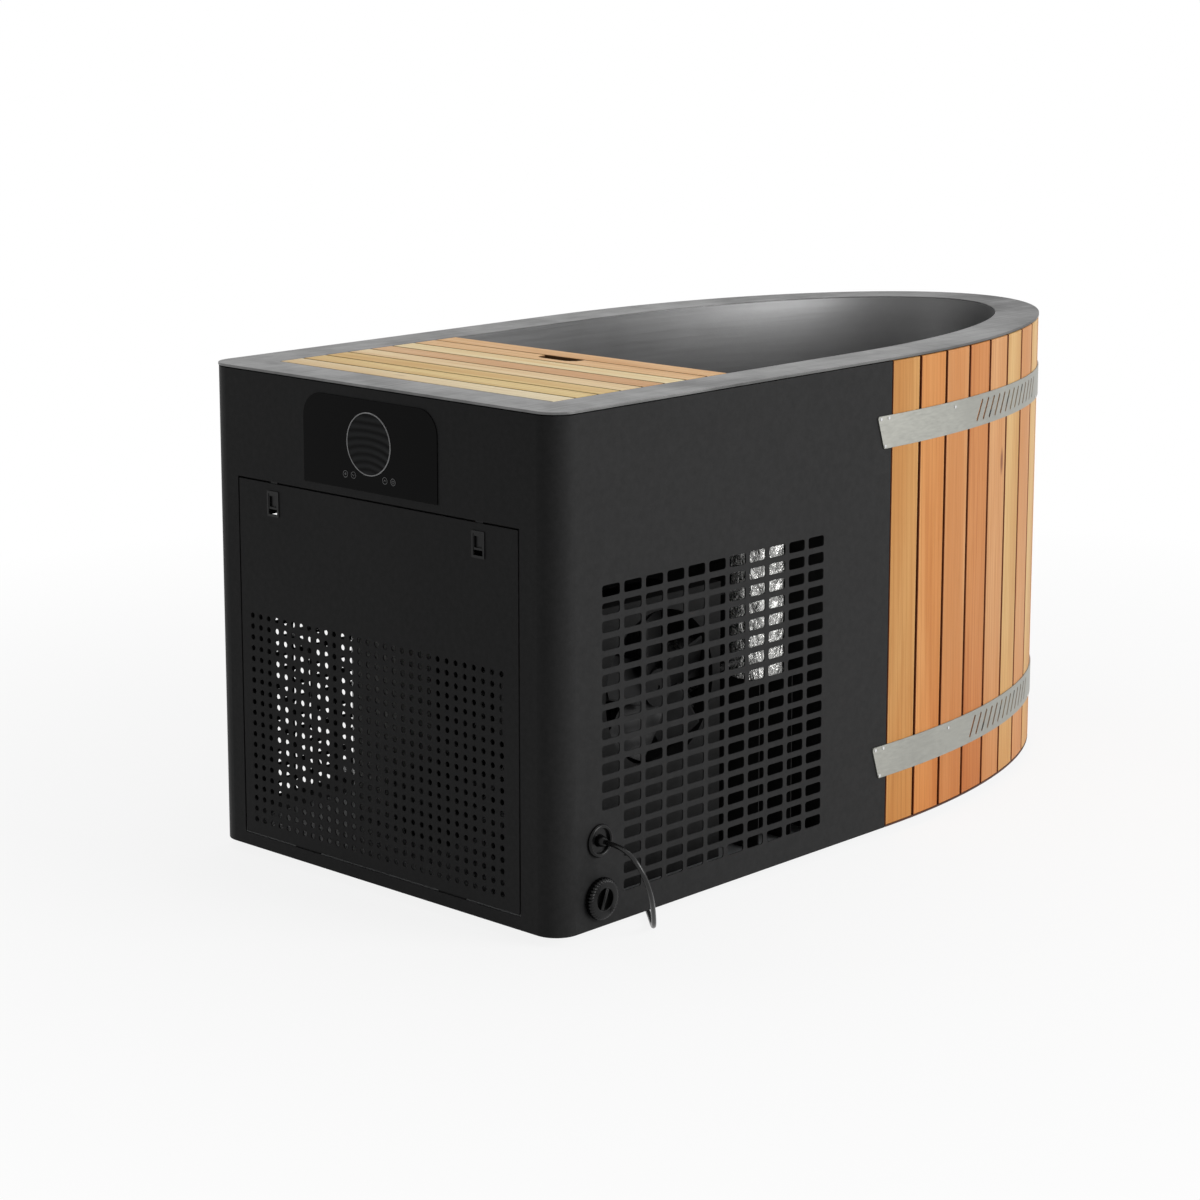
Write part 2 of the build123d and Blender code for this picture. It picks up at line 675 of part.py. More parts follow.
def make_control_panel():
    """Glossy panel on the end, its display and touch icons, and the box behind it."""
    z0 = BASE_Z + PANEL_BOTTOM
    z1 = z0 + PANEL_HEIGHT
    front = FACE_X - PANEL_SHEET
    y0, y1 = PANEL_CENTRE_Y - PANEL_WIDTH / 2, PANEL_CENTRE_Y + PANEL_WIDTH / 2
    panel = box(front, FACE_X, y0, y1, z0, z1)
    upper = panel.edges().filter_by(Axis.X).sort_by(Axis.Z)[-2:]
    panel = fillet(upper, PANEL_CORNER_R)
    display_z = BASE_Z + DISPLAY_CENTRE_Z
    radius = DISPLAY_D / 2
    hole = radius - DISPLAY_RING_WIDTH
    ring = rod_x(PANEL_CENTRE_Y, display_z, radius, front - DISPLAY_RING_PROUD, front)
    ring -= rod_x(PANEL_CENTRE_Y, display_z, hole, front - DISPLAY_RING_PROUD - 1, front + 1)
    lens = rod_x(PANEL_CENTRE_Y, display_z, hole, front - DISPLAY_LENS_THICKNESS, front)
    icons = []
    for offset in ICON_OFFSETS:
        y = PANEL_CENTRE_Y + offset
        icons.append(rod_x(y, BASE_Z + ICON_Z, ICON_D / 2, front - ICON_THICKNESS, front))
    margin = CONTROL_BOX_MARGIN + SEAT_GAP
    case = box(FACE_X + SEAT_GAP, FACE_X + CONTROL_BOX_DEPTH, y0 + margin, y1 - margin,
               z0 + margin, z1 - margin)
    return panel, ring, lens, icons, case


def make_staves():
    """Curved boards round the oval end, each with its outer arrises rounded."""
    pitch = (WOOD_LENGTH + STAVE_GAP) / STAVE_COUNT
    ring = body_outline(RIM_OVERHANG) - body_outline(STAVE_BACK_IN)
    reach = 2 * STAVE_THICKNESS
    staves = []
    for index in range(STAVE_COUNT):
        corners = []
        for distance in (index * pitch, (index + 1) * pitch - STAVE_GAP):
            x, y, heading = on_wood(max(distance, 1e-6))
            out_x, out_y = sin(radians(heading)), -cos(radians(heading))
            corners.append(((x + reach * out_x, y + reach * out_y), (x - reach * out_x, y - reach * out_y)))
        (a_out, a_in), (b_out, b_in) = corners
        board = ring & make_face(Polyline(a_out, a_in, b_in, b_out, close=True))
        stave = slab(board, BASE_Z + BASE_STRIP + SEAT_GAP, CASING_TOP)
        x, y, heading = on_wood((index + 0.5) * pitch)
        outwards = Vector(sin(radians(heading)), -cos(radians(heading)), 0)
        upright = stave.edges().filter_by(Axis.Z)
        outer = upright.sort_by(lambda edge, way=outwards: -edge.center().dot(way))[:2]
        staves.append(fillet(outer, STAVE_EDGE_R))
    return staves


def make_stave_backing():
    """Curved sheet that the staves are fixed to, with a strip under their feet."""
    keep = box(WOOD_X, FAR, -FAR, FAR, 0, FAR)
    wall = body_shell(BACKING_OUT, BACKING_IN, BASE_Z, CASING_TOP - 2)
    strip = body_shell(RIM_OVERHANG, BACKING_IN, BASE_Z, BASE_Z + BASE_STRIP)
    return (wall + strip) & keep


def make_lower_band():
    """Sheet band round the staves: slanted ends and a row of leaning slots on each flank."""
    z0 = BASE_Z + LOWER_BAND_BOTTOM
    z1 = z0 + BAND_HEIGHT
    out = RIM_OVERHANG - SEAT_GAP
    ring = body_shell(out - BAND_SHEET, out, z0, z1)
    start = END_X + BAND_END_X
    with BuildSketch(Plane.XZ) as side_view:
        with BuildLine():
            Polyline((start, z1), (FAR, z1), (FAR, z0), (start + BAND_END_SLANT, z0), close=True)
        make_face()
        fillet(side_view.vertices().sort_by(Axis.X)[:2], BAND_CORNER_R)
    band = ring & extrude(side_view.sketch, FAR, both=True)
    middle = (z0 + z1) / 2
    length = BAND_SLOT_RISE / cos(radians(BAND_SLOT_LEAN)) + BAND_SLOT_WIDTH / 2
    cuts = []
    for index in range(BAND_SLOT_COUNT):
        plane = skin_plane(BAND_SLOT_FIRST + index * BAND_SLOT_PITCH, middle)
        slot = Rot(0, 0, 90 - BAND_SLOT_LEAN) * SlotOverall(length, BAND_SLOT_WIDTH)
        cut = extrude(plane * slot, 8, both=True)
        cuts += [cut, mirror(cut, Plane.XZ)]
    for distance, height in band_screw_places():
        cut = screw_bar(distance, z0 + height, BAND_SCREW_R + SCREW_CLEARANCE, -5, 5)
        cuts += [cut, mirror(cut, Plane.XZ)]
    return band - cuts


def band_screw_places():
    """Band screws: distance past the wood joint, and height above the band's lower edge."""
    high = BAND_HEIGHT - 4.5
    return ((-34, high), (-13, high), (-22, 4.5), (184, BAND_HEIGHT - 10), (600, 6))


def screw_bar(distance, z, radius, low, high):
    """A round bar that stands square to the wood face."""
    plane = skin_plane(distance, z)
    plane = plane.offset(low)
    return extrude(plane * Circle(radius), high - low)


def make_band_screws():
    """Pan-head screws that hold both bands."""
    screws = []
    out = BAND_SHEET + SEAT_GAP
    for bottom in (UPPER_BAND_BOTTOM, LOWER_BAND_BOTTOM):
        for distance, height in band_screw_places():
            z = BASE_Z + bottom + height
            head = screw_bar(distance, z, BAND_SCREW_HEAD_R, out, out + BAND_SCREW_HEAD)
            shank = screw_bar(distance, z, BAND_SCREW_R, 0.1, out)
            screw = head + shank
            screws += [screw, mirror(screw, Plane.XZ)]
    return screws


def slat_centre(index):
    """The middle of a slat along the tub."""
    return MOUTH_X + COVER_SIDE_GAP + SLAT_WIDTH / 2 + index * SLAT_PITCH


def cover_screw_places():
    """Where each slat is screwed to each batten."""
    return [(slat_centre(index), side * BATTEN_SPREAD) for index in range(SLAT_COUNT) for side in (-1, 1)]


def make_cover():
    """Lift-off slatted cover: slats on two battens, with a finger notch."""
    half = MOUTH_HALF - COVER_SIDE_GAP
    screw_holes = []
    for x, y in cover_screw_places():
        screw_holes.append(rod_z(x, y, COVER_SCREW_R + SCREW_CLEARANCE, SLAT_BOTTOM - 1,
                                 SLAT_BOTTOM + COVER_SCREW_BITE + 1))
    slats = []
    for index in range(SLAT_COUNT):
        x = slat_centre(index)
        slat = box(x - SLAT_WIDTH / 2, x + SLAT_WIDTH / 2, -half, half, SLAT_BOTTOM, TOP_Z)
        if index == NOTCH_SLAT - 1:
            edge = x + SLAT_WIDTH / 2
            notch = RectangleRounded(2 * NOTCH_DEPTH, NOTCH_LENGTH, NOTCH_R)
            slat -= slab(Pos(edge, 0) * notch, SLAT_BOTTOM - 1, TOP_Z + 1)
        slat = fillet(slat.faces().sort_by(Axis.Z)[-1].edges(), SLAT_EDGE_R)
        slats.append(slat - screw_holes[2 * index] - screw_holes[2 * index + 1])
    batten_z = SLAT_BOTTOM - BATTEN_THICKNESS
    battens = []
    screws = []
    x0, x1 = MOUTH_X + BATTEN_END_INSET, COVER_X - BATTEN_END_INSET
    for side in (-1, 1):
        y = side * BATTEN_SPREAD
        batten = box(x0, x1, y - BATTEN_WIDTH / 2, y + BATTEN_WIDTH / 2, batten_z, SLAT_BOTTOM)
        for hole_x, hole_y in cover_screw_places():
            if hole_y == y and x0 < hole_x < x1:
                batten -= rod_z(hole_x, y, COVER_SCREW_R + SCREW_CLEARANCE, batten_z - 1, SLAT_BOTTOM + 1)
                batten -= rod_z(hole_x, y, COVER_SCREW_HEAD_R + SCREW_CLEARANCE, batten_z - 1,
                                batten_z + COVER_SCREW_HEAD)
                head = rod_z(hole_x, y, COVER_SCREW_HEAD_R, batten_z, batten_z + COVER_SCREW_HEAD)
                shank_top = SLAT_BOTTOM + COVER_SCREW_BITE
                screws.append(head + rod_z(hole_x, y, COVER_SCREW_R, batten_z, shank_top))
        battens.append(batten)
    return slats, battens, screws


def make_cover_ledge():
    """Angle under the rim that carries the cover on its four sides."""
    z0 = LEDGE_TOP - LEDGE_SHEET
    wall_in = LEDGE_SHEET
    x0, x1 = MOUTH_X, BASIN_X - BASIN_SHEET - SEAT_GAP
    y1 = MOUTH_HALF
    flat = box(x0, x1, -y1, y1, z0, LEDGE_TOP)
    flat -= box(x0 + LEDGE_WIDTH, x1 - LEDGE_WIDTH, -y1 + LEDGE_WIDTH, y1 - LEDGE_WIDTH, z0 - 1, TOP_Z)
    walls = box(x0 - wall_in, x1, -y1 - wall_in, y1 + wall_in, z0, TOP_Z - RIM_SHEET)
    walls -= box(x0, FAR, -y1, y1, z0 - 1, TOP_Z)
    return flat + walls


def bearer_places():
    """The middle of each cross bearer along the tub."""
    return [END_X + BEARER_FIRST + index * BEARER_PITCH for index in range(BEARER_COUNT)]


def bearer_reach(x):
    """How far a bearer reaches to each side before it meets the skin."""
    if x < WOOD_X - BEARER_WIDTH / 2:
        return CASING_BACK_Y - SEAT_GAP
    return half_width_at(x + BEARER_WIDTH / 2, CORE_IN)


def foot_places():
    """The feet: a pair under every other bearer."""
    places = []
    for x in bearer_places()[::2]:
        y = bearer_reach(x) - FOOT_INSET
        places += [(x, -y), (x, y)]
    return places


def make_base():
    """Cross bearers of box tube, levelling feet under them and the floor pan over them."""
    half = BEARER_WIDTH / 2
    wall = BEARER_WALL
    bearers = []
    for x in bearer_places():
        reach = bearer_reach(x)
        bearer = box(x - half, x + half, -reach, reach, BASE_Z, PAN_Z)
        bearer -= box(x - half + wall, x + half - wall, -FAR, FAR, BASE_Z + wall, PAN_Z - wall)
        for foot_x, foot_y in foot_places():
            if foot_x == x:
                bearer -= rod_z(foot_x, foot_y, FOOT_STEM_R + SEAT_GAP, 0, BASE_Z + wall + 1)
        bearers.append(bearer)
    feet = []
    for x, y in foot_places():
        pad = Pos(x, y, FOOT_PAD / 2) * Cylinder(FOOT_PAD_R, FOOT_PAD)
        pad = fillet(pad.faces().sort_by(Axis.Z)[-1].edges(), 2)
        nut = slab(Pos(x, y) * RegularPolygon(FOOT_NUT_ACROSS / 2, 6, major_radius=False),
                   FOOT_PAD, BASE_Z - SEAT_GAP)
        feet.append(pad + nut + rod_z(x, y, FOOT_STEM_R, FOOT_PAD, BASE_Z + FOOT_STEM_TOP))
    pan = slab(body_outline(CORE_IN), PAN_Z, ROOM_Z)
    return bearers, feet, pan


def make_drain_valve():
    """Drain valve inside the casing, and the ribbed knob that turns it from outside."""
    x, z = END_X + KNOB_X, BASE_Z + KNOB_Z
    back = -CASING_BACK_Y
    flange = rod_y(x, z, VALVE_FLANGE_R, back + SEAT_GAP, back + SEAT_GAP + VALVE_FLANGE)
    body = rod_y(x, z, VALVE_R, back + SEAT_GAP, back + VALVE_LENGTH)
    bore = rod_y(x, z, KNOB_SPIGOT_R + SEAT_GAP, back - 1, back + KNOB_SPIGOT_LENGTH + SEAT_GAP)
    outlet = rod_y(x, z, DRAIN_HOSE_BORE_R, back, back + VALVE_LENGTH + 1)
    front = -CASING_FACE_Y - KNOB_BACK_GAP
    knob = rod_y(x, z, KNOB_R, front - KNOB_THICKNESS, front)
    outer = knob.faces().sort_by(Axis.Y)[0].edges()
    knob = fillet(outer, 2)
    grooves = []
    for index in range(KNOB_RIBS):
        angle = 2 * pi * index / KNOB_RIBS
        grooves.append(rod_y(x + KNOB_R * cos(angle), z + KNOB_R * sin(angle), KNOB_GROOVE_R,
                             front - KNOB_THICKNESS - 1, front + 1))
    knob -= grooves
    face = front - KNOB_THICKNESS
    knob -= rod_y(x, z, KNOB_RECESS_R, face - 1, face + KNOB_RECESS)
    bar = Box(KNOB_BAR_WIDTH, KNOB_RECESS, 2 * KNOB_RECESS_R)
    bar = Pos(x, face + KNOB_RECESS / 2 + 1, z) * Rot(0, KNOB_BAR_LEAN, 0) * bar
    bar &= rod_y(x, z, KNOB_RECESS_R + 0.5, face, face + KNOB_RECESS + 1)
    knob += bar
    knob += rod_y(x, z, KNOB_SPIGOT_R, front, -CASING_BACK_Y + KNOB_SPIGOT_LENGTH)
    return flange + body - bore - outlet, knob


def make_drain_hose():
    """Hose from the sump under the basin to the drain valve."""
    x, z = END_X + KNOB_X, BASE_Z + KNOB_Z
    start = DRAIN_X - SUMP_REACH - SEAT_GAP
    points = [(start, 0, z), (-190, 0, z), (-330, -60, z), (-620, -80, z), (x, -180, z),
              (x, -CASING_BACK_Y + VALVE_LENGTH + SEAT_GAP, z)]
    return tube(points, HOSE_BEND_R, DRAIN_HOSE_R, DRAIN_HOSE_BORE_R)


def make_grommet():
    """Cable grommet: raised lip, recess, and a tapered strain relief at its middle."""
    x, z = END_X + GROMMET_X, BASE_Z + GROMMET_Z
    face = -CASING_FACE_Y
    lip = rod_y(x, z, GROMMET_R, face - GROMMET_LIP, face)
    lip = fillet(lip.faces().sort_by(Axis.Y)[0].edges(), 2)
    barrel = rod_y(x, z, GROMMET_BARREL_R, face, -CASING_BACK_Y + 8)
    tip = relief_tip_y()
    sleeve = Cone(RELIEF_ROOT_R, RELIEF_TIP_R, RELIEF_LENGTH)
    relief = Pos(x, tip + RELIEF_LENGTH / 2, z) * Rot(90, 0, 0) * sleeve
    recess = rod_y(x, z, GROMMET_RECESS_R, face - GROMMET_LIP - 1, face - GROMMET_LIP + GROMMET_RECESS)
    return lip + barrel - recess + relief


def relief_tip_y():
    """Where the cord leaves the strain relief."""
    return -CASING_FACE_Y - GROMMET_LIP - 8


def cord_route():
    """Points of the mains cord: out of the grommet, down, under the tub and out behind it."""
    x, z = END_X + GROMMET_X, BASE_Z + GROMMET_Z
    floor = CORD_D / 2 + FLOOR_GAP
    return [
        (x, relief_tip_y(), z),
        (x, -448, z),
        (x + 6, -476, 124),
        (x + 22, -480, 84),
        (x + 45, -465, 45),
        (x + 74, -440, floor),
        (-584, -386, floor),
        (-522, -312, floor),
        (-458, -222, floor),
        (-402, -125, floor),
        (-356, -23, floor),
        (-321, 84, floor),
        (-298, 194, floor),
        (-284, 305, floor),
        (-278, 417, floor),
        (-278, 525, floor),
    ]


def make_cord():
    """The cord from the grommet to the coil."""
    points = cord_route()
    radii = bend_radii(points)
    path = FilletPolyline(*points, radius=radii)
    cord = sweep(Plane(origin=path @ 0, z_dir=path % 0) * Circle(CORD_D / 2), path)
    print("cord length", round(path.length, 1), "bend radii", [round(r) for r in radii])
    print("cord volume over section times length", cord.volume / (pi * CORD_D ** 2 / 4 * path.length))
    return cord, path.length


def coil_line():
    """The coil's line: spiral in on the floor, climb a layer, and spiral out on top."""
    end = Vector(*cord_route()[-1])
    start = end + Vector(0, CORD_D, 0)
    pieces = [Line(end, start)]
    radii = [COIL_OUTER_R - COIL_PITCH / 2 * turn for turn in range(COIL_HALF_TURNS)]
    inner = radii[-1] - COIL_PITCH / 2
    steps = [(radius, 0) for radius in radii] + [(inner, COIL_PITCH)]
    steps += [(radius, 0) for radius in reversed(radii)]
    way = 1
    place = start
    for radius, climb in steps:
        heading = Vector(0, way, 0)
        reach = sqrt(radius ** 2 + climb ** 2 / 4)
        crown = place + Vector(-way * radius, way * reach, climb / 2)
        stop = place + Vector(-way * 2 * radius, 0, climb)
        pieces.append(TangentArc(place, crown, tangent=heading))
        pieces.append(TangentArc(crown, stop, tangent=heading, tangent_from_first=False))
        place = stop
        way = -way
    tail = place + Vector(0, way * COIL_TAIL, 0)
    pieces.append(Line(place, tail))
    return Wire(pieces), tail


def coil_gap(path):
    """The least gap between turns of the coil, measured on points along its line."""
    count = 2400
    spacing = path.length / count
    points = [path @ (index / count) for index in range(count + 1)]
    apart = int(pi * CORD_D / spacing)
    least = FAR
    for index in range(0, count + 1, 4):
        for other in points[index + apart:]:
            least = min(least, (points[index] - other).length)
    return least - CORD_D


def make_coil():
    """The put-away length of the cord, wound into a neat coil behind the tub."""
    path, tail = coil_line()
    coil = sweep(Plane(origin=path @ 0, z_dir=path % 0) * Circle(CORD_D / 2), path)
    print("coil length", round(path.length, 1), "least gap between turns", round(coil_gap(path), 2))
    print("coil volume over section times length", coil.volume / (pi * CORD_D ** 2 / 4 * path.length))
    return coil, path.length, tail


def make_plug(tail):
    """Moulded three-pin plug that lies on the floor with its entry at the coil's tail."""
    x, y, z = tail.X, tail.Y, tail.Z
    taper = Cone(CORD_D / 2 + 2, PLUG_THICKNESS / 2 - 4, PLUG_NOSE)
    nose = Pos(x, y - PLUG_NOSE / 2, z) * Rot(90, 0, 0) * taper
    y0 = y - PLUG_NOSE
    body = box(x - PLUG_WIDTH / 2, x + PLUG_WIDTH / 2, y0 - PLUG_LENGTH, y0,
               z - PLUG_THICKNESS / 2, z + PLUG_THICKNESS / 2)
    body = fillet(body.edges().filter_by(Axis.Y), 6)
    plug = body + nose
    face = y0 - PLUG_LENGTH
    for side in (-1, 1):
        blade_x = x + side * PLUG_BLADE_SPREAD / 2
        half = PLUG_BLADE_SHEET / 2
        plug += box(blade_x - half, blade_x + half, face - PLUG_BLADE_LENGTH, face + 1,
                    z + 3 - PLUG_BLADE_WIDTH / 2, z + 3 + PLUG_BLADE_WIDTH / 2)
    return plug + rod_y(x, z - PLUG_GROUND_DROP, PLUG_GROUND_R, face - PLUG_BLADE_LENGTH - 2, face + 1)


def make_fan():
    """Shroud with its hole, fan motor on a cross arm, and the pressed blades on its shaft."""
    x, z = END_X + FAN_X, BASE_Z + FAN_Z
    half = SHROUD_WIDTH / 2
    y0, y1 = -SHROUD_FACE_Y, -SHROUD_FACE_Y + SHROUD_DEPTH
    top = BASE_Z + SHROUD_TOP
    shroud = box(x - half, x + half, y0, y1, STAND_Z, top)
    shroud -= box(x - half + SHROUD_SHEET, x + half - SHROUD_SHEET, y0 + SHROUD_SHEET, FAR,
                  STAND_Z + SHROUD_SHEET, top - SHROUD_SHEET)
    shroud -= rod_y(x, z, FAN_R + FAN_TIP_GAP, y0 - 1, y1)
    collar = rod_y(x, z, FAN_R + FAN_TIP_GAP + SHROUD_SHEET, y0, y1 - 6)
    shroud += collar - rod_y(x, z, FAN_R + FAN_TIP_GAP, y0 - 1, y1)
    arm_y = y1 - 3
    arm = box(x - half + SHROUD_SHEET, x + half - SHROUD_SHEET, arm_y, y1, z - MOTOR_ARM, z + MOTOR_ARM)
    shroud += arm - rod_y(x, z, MOTOR_SHAFT_R * 3, y0, FAR)
    motor = rod_y(x, z, MOTOR_R, y1 + SEAT_GAP, y1 + MOTOR_LENGTH)
    motor = fillet(motor.edges().filter_by(GeomType.CIRCLE), 4)
    motor += rod_y(x, z, MOTOR_SHAFT_R, y0 + 6, y1 + 1)
    blade_y = y0 + 4 + FAN_BLADE_DEPTH / 2
    hub = rod_y(x, z, FAN_HUB_R, blade_y - FAN_BLADE_DEPTH / 2, blade_y + FAN_BLADE_DEPTH / 2)
    fan = hub
    span = FAN_R - FAN_HUB_R + 6
    for index in range(FAN_BLADES):
        blade = Rot(0, 0, FAN_BLADE_PITCH) * Box(FAN_BLADE_CHORD, FAN_BLADE_SHEET, span)
        blade = Rot(0, 360 * index / FAN_BLADES, 0) * (Pos(0, 0, FAN_HUB_R - 6 + span / 2) * blade)
        fan += Pos(x, blade_y, z) * blade
    fan &= rod_y(x, z, FAN_R, y0, arm_y - 2)
    fan -= rod_y(x, z, MOTOR_SHAFT_R + SHAFT_CLEARANCE, y0 - 9, y1)
    return shroud, motor, fan


def make_condenser():
    """Finned condenser block between two end plates that stand on the floor pan."""
    x = END_X + FAN_X
    half = CONDENSER_WIDTH / 2
    z0 = BASE_Z + CONDENSER_BOTTOM
    y0, y1 = -CONDENSER_Y, -CONDENSER_Y + CONDENSER_DEPTH
    core = box(x - half, x + half, y0, y1, z0, z0 + CONDENSER_HEIGHT)
    plate = CONDENSER_PLATE
    for side in (-1, 1):
        x0, x1 = sorted((x + side * half, x + side * (half + plate)))
        core += box(x0, x1, y0 - 2, y1 + 2, STAND_Z, z0 + CONDENSER_HEIGHT + 4)
    return core


def make_compressor():
    """Sealed compressor on a foot plate, and the rubber mounts under it."""
    x, y = END_X + COMPRESSOR_X, COMPRESSOR_Y
    z0 = ROOM_Z + MOUNT_HEIGHT
    plate = rod_z(x, y, COMPRESSOR_PLATE_R, z0 + SEAT_GAP, z0 + COMPRESSOR_PLATE)
    can = rod_z(x, y, COMPRESSOR_R, z0 + 1, z0 + COMPRESSOR_HEIGHT)
    can = fillet(can.faces().sort_by(Axis.Z)[-1].edges(), COMPRESSOR_DOME_R)
    mounts = []
    for index in range(3):
        angle = 2 * pi * index / 3
        mount_x, mount_y = x + MOUNT_CIRCLE_R * cos(angle), y + MOUNT_CIRCLE_R * sin(angle)
        mounts.append(rod_z(mount_x, mount_y, MOUNT_R, ROOM_Z, z0))
    return plate + can, mounts


def make_exchanger():
    """Wrapped heat exchanger on its sheet stand."""
    x, y = END_X + EXCHANGER_X, -EXCHANGER_Y
    z0 = BASE_Z + EXCHANGER_BOTTOM
    tank = rod_z(x, y, EXCHANGER_R, z0, z0 + EXCHANGER_HEIGHT)
    tank = fillet(tank.edges().filter_by(GeomType.CIRCLE), EXCHANGER_END_R)
    half = STAND_WIDTH / 2
    top = z0 - SEAT_GAP
    stand = box(x - half, x + half, y - half, y + half, STAND_Z, top)
    stand -= box(x - half + STAND_SHEET, x + half - STAND_SHEET, y - FAR, y + FAR, 0, top - STAND_SHEET)
    return tank, stand


def make_pump():
    """Circulation pump: finned motor, wet end and foot."""
    x, y, z = END_X + PUMP_X, PUMP_Y, PUMP_AXIS_Z
    motor = rod_x(y, z, PUMP_R, x - PUMP_LENGTH / 2, x + PUMP_LENGTH / 2)
    x1 = x + PUMP_LENGTH / 2
    head = rod_x(y, z, PUMP_HEAD_R, x1, x1 + PUMP_HEAD_LENGTH)
    half = PUMP_FOOT_WIDTH / 2
    foot = box(x - half, x + half, y - half, y + half, STAND_Z, PUMP_FOOT_TOP)
    return motor + head + foot


def make_filter():
    """Filter canister that stands on the floor pan, and its ribbed screw lid."""
    x, y = END_X + FILTER_X, FILTER_Y
    top = BASE_Z + FILTER_TOP
    body = rod_z(x, y, FILTER_R, STAND_Z, top)
    body = fillet(body.edges().filter_by(GeomType.CIRCLE), 8)
    body += rod_z(x, y, FILTER_NECK_R, top - 1, top + FILTER_NECK)
    z0 = top + 2 * SEAT_GAP
    z1 = z0 + FILTER_LID
    lid = rod_z(x, y, FILTER_LID_R, z0, z1)
    lid = fillet(lid.faces().sort_by(Axis.Z)[-1].edges(), 4)
    lid -= rod_z(x, y, FILTER_NECK_R + SEAT_GAP, z0 - 1, top + FILTER_NECK + 2 * SEAT_GAP)
    ribs = []
    for index in range(FILTER_LID_RIBS):
        angle = 2 * pi * index / FILTER_LID_RIBS
        ribs.append(rod_z(x + FILTER_LID_R * cos(angle), y + FILTER_LID_R * sin(angle), 3, z0 - 1, z1 + 1))
    return body, lid - ribs


def make_pipes():
    """Insulated water pipes between the nozzles, filter, pump and heat exchanger."""
    (suction_y, suction_z), (return_y, return_z) = nozzle_places()
    room_x = BULKHEAD_X - NOZZLE_REACH - SEAT_GAP
    filter_x, filter_y = END_X + FILTER_X, FILTER_Y
    head_x = END_X + PUMP_X + PUMP_LENGTH / 2 + PUMP_HEAD_LENGTH
    head_middle = head_x - PUMP_HEAD_LENGTH / 2
    head_top = PUMP_AXIS_Z + PUMP_HEAD_R + SEAT_GAP
    tank_x, tank_y = END_X + EXCHANGER_X, -EXCHANGER_Y
    tank_side = tank_y + EXCHANGER_R + SEAT_GAP
    inlet_z, outlet_z = EXCHANGER_INLET_Z, EXCHANGER_OUTLET_Z
    filter_side = filter_x + FILTER_R + SEAT_GAP
    routes = [
        [(room_x, suction_y, suction_z), (room_x - 47, suction_y, suction_z), (-240, -60, 340),
         (-420, 20, 400), (filter_x, 60, 402), (filter_x, filter_y - FILTER_R - SEAT_GAP, 402)],
        [(filter_side, filter_y, PUMP_AXIS_Z), (-435, filter_y, PUMP_AXIS_Z), (-435, PUMP_Y, PUMP_AXIS_Z),
         (head_x + SEAT_GAP, PUMP_Y, PUMP_AXIS_Z)],
        [(head_middle, PUMP_Y, head_top), (head_middle, PUMP_Y, 300), (-420, -60, 305),
         (-330, -160, 342), (tank_x, -195, inlet_z), (tank_x, tank_side, inlet_z)],
        [(tank_x, tank_side, outlet_z), (tank_x, -190, outlet_z), (-222, 100, 508),
         (-215, return_y, return_z), (room_x, return_y, return_z)],
    ]
    return [tube(route, PIPE_BEND_R, PIPE_R, PIPE_BORE_R) for route in routes]


def make_copper():
    """Copper refrigerant lines between compressor, condenser and heat exchanger."""
    x, y = END_X + COMPRESSOR_X, COMPRESSOR_Y
    can_top = ROOM_Z + MOUNT_HEIGHT + COMPRESSOR_HEIGHT + SEAT_GAP
    plate = CONDENSER_WIDTH / 2 + CONDENSER_PLATE + SEAT_GAP
    inlet_x, outlet_x = END_X + FAN_X - plate, END_X + FAN_X + plate
    core_y = -CONDENSER_Y + CONDENSER_DEPTH / 2
    tank_x, tank_y = END_X + EXCHANGER_X - EXCHANGER_R - SEAT_GAP, -EXCHANGER_Y
    routes = [
        [(x, y, can_top), (x, y, 345), (x - 10, 335, 352), (-690, 342, 354), (-702, 262, 345),
         (-704, 255, 140), (-694, -120, 140), (-690, core_y, 262), (inlet_x, core_y, 262)],
        [(outlet_x, core_y, 440), (-340, core_y, 440), (-336, tank_y, 470), (tank_x, tank_y, 470)],
        [(tank_x, tank_y, 348), (-340, tank_y, 348), (-342, -150, 224), (x, -20, 200),
         (x, y - COMPRESSOR_R - SEAT_GAP, 200)],
    ]
    return [tube(route, COPPER_BEND_R, COPPER_R) for route in routes]


os.makedirs("parts", exist_ok=True)


def save(name, solids):
    """Write one node; several solids stay separate inside it."""
    group = list(solids) if isinstance(solids, (list, tuple)) else [solids]
    bodies = [solid for shape in group for solid in shape.solids()]
    export_step(Compound(children=bodies) if len(bodies) > 1 else bodies[0], f"parts/{name}.step")


bearers, feet, pan = make_base()
save("cross_bearers", bearers)
save("levelling_feet", feet)
save("floor_pan", pan)
end, near_side, far_side = make_casing()
save("casing_end", end)
save("casing_side_near", near_side)
save("casing_side_far", far_side)
save("rim_deck", make_rim_deck())
save("basin_shell", make_basin_shell())
save("insulation", make_insulation())
save("bulkhead", make_bulkhead())
save("water_nozzles", make_water_nozzles())
save("drain_strainer", make_drain_strainer())
save("service_door", make_service_door())
bezels = []
for name, place in zip(("near", "far"), latch_places()):
    bezel, slider = make_latch(place)
    bezels.append(bezel)
    save(f"latch_slider_{name}", slider)
save("latch_bezels", bezels)
panel, ring, lens, icons, case = make_control_panel()
save("control_panel", panel)
save("display_ring", ring)
save("display_lens", lens)
save("touch_icons", icons)
save("control_box", case)
staves = make_staves()
for first in range(0, STAVE_COUNT, STAVES_PER_NODE):
    last = first + STAVES_PER_NODE
    save(f"staves_{first + 1:02d}_to_{last:02d}", staves[first:last])
save("stave_backing", make_stave_backing())
lower_band = make_lower_band()
save("lower_band", lower_band)
save("upper_band", Pos(0, 0, UPPER_BAND_BOTTOM - LOWER_BAND_BOTTOM) * lower_band)
save("band_screws", make_band_screws())
slats, battens, cover_screws = make_cover()
for index, slat in enumerate(slats):
    save(f"cover_slat_{index + 1}", slat)
save("cover_battens", battens)
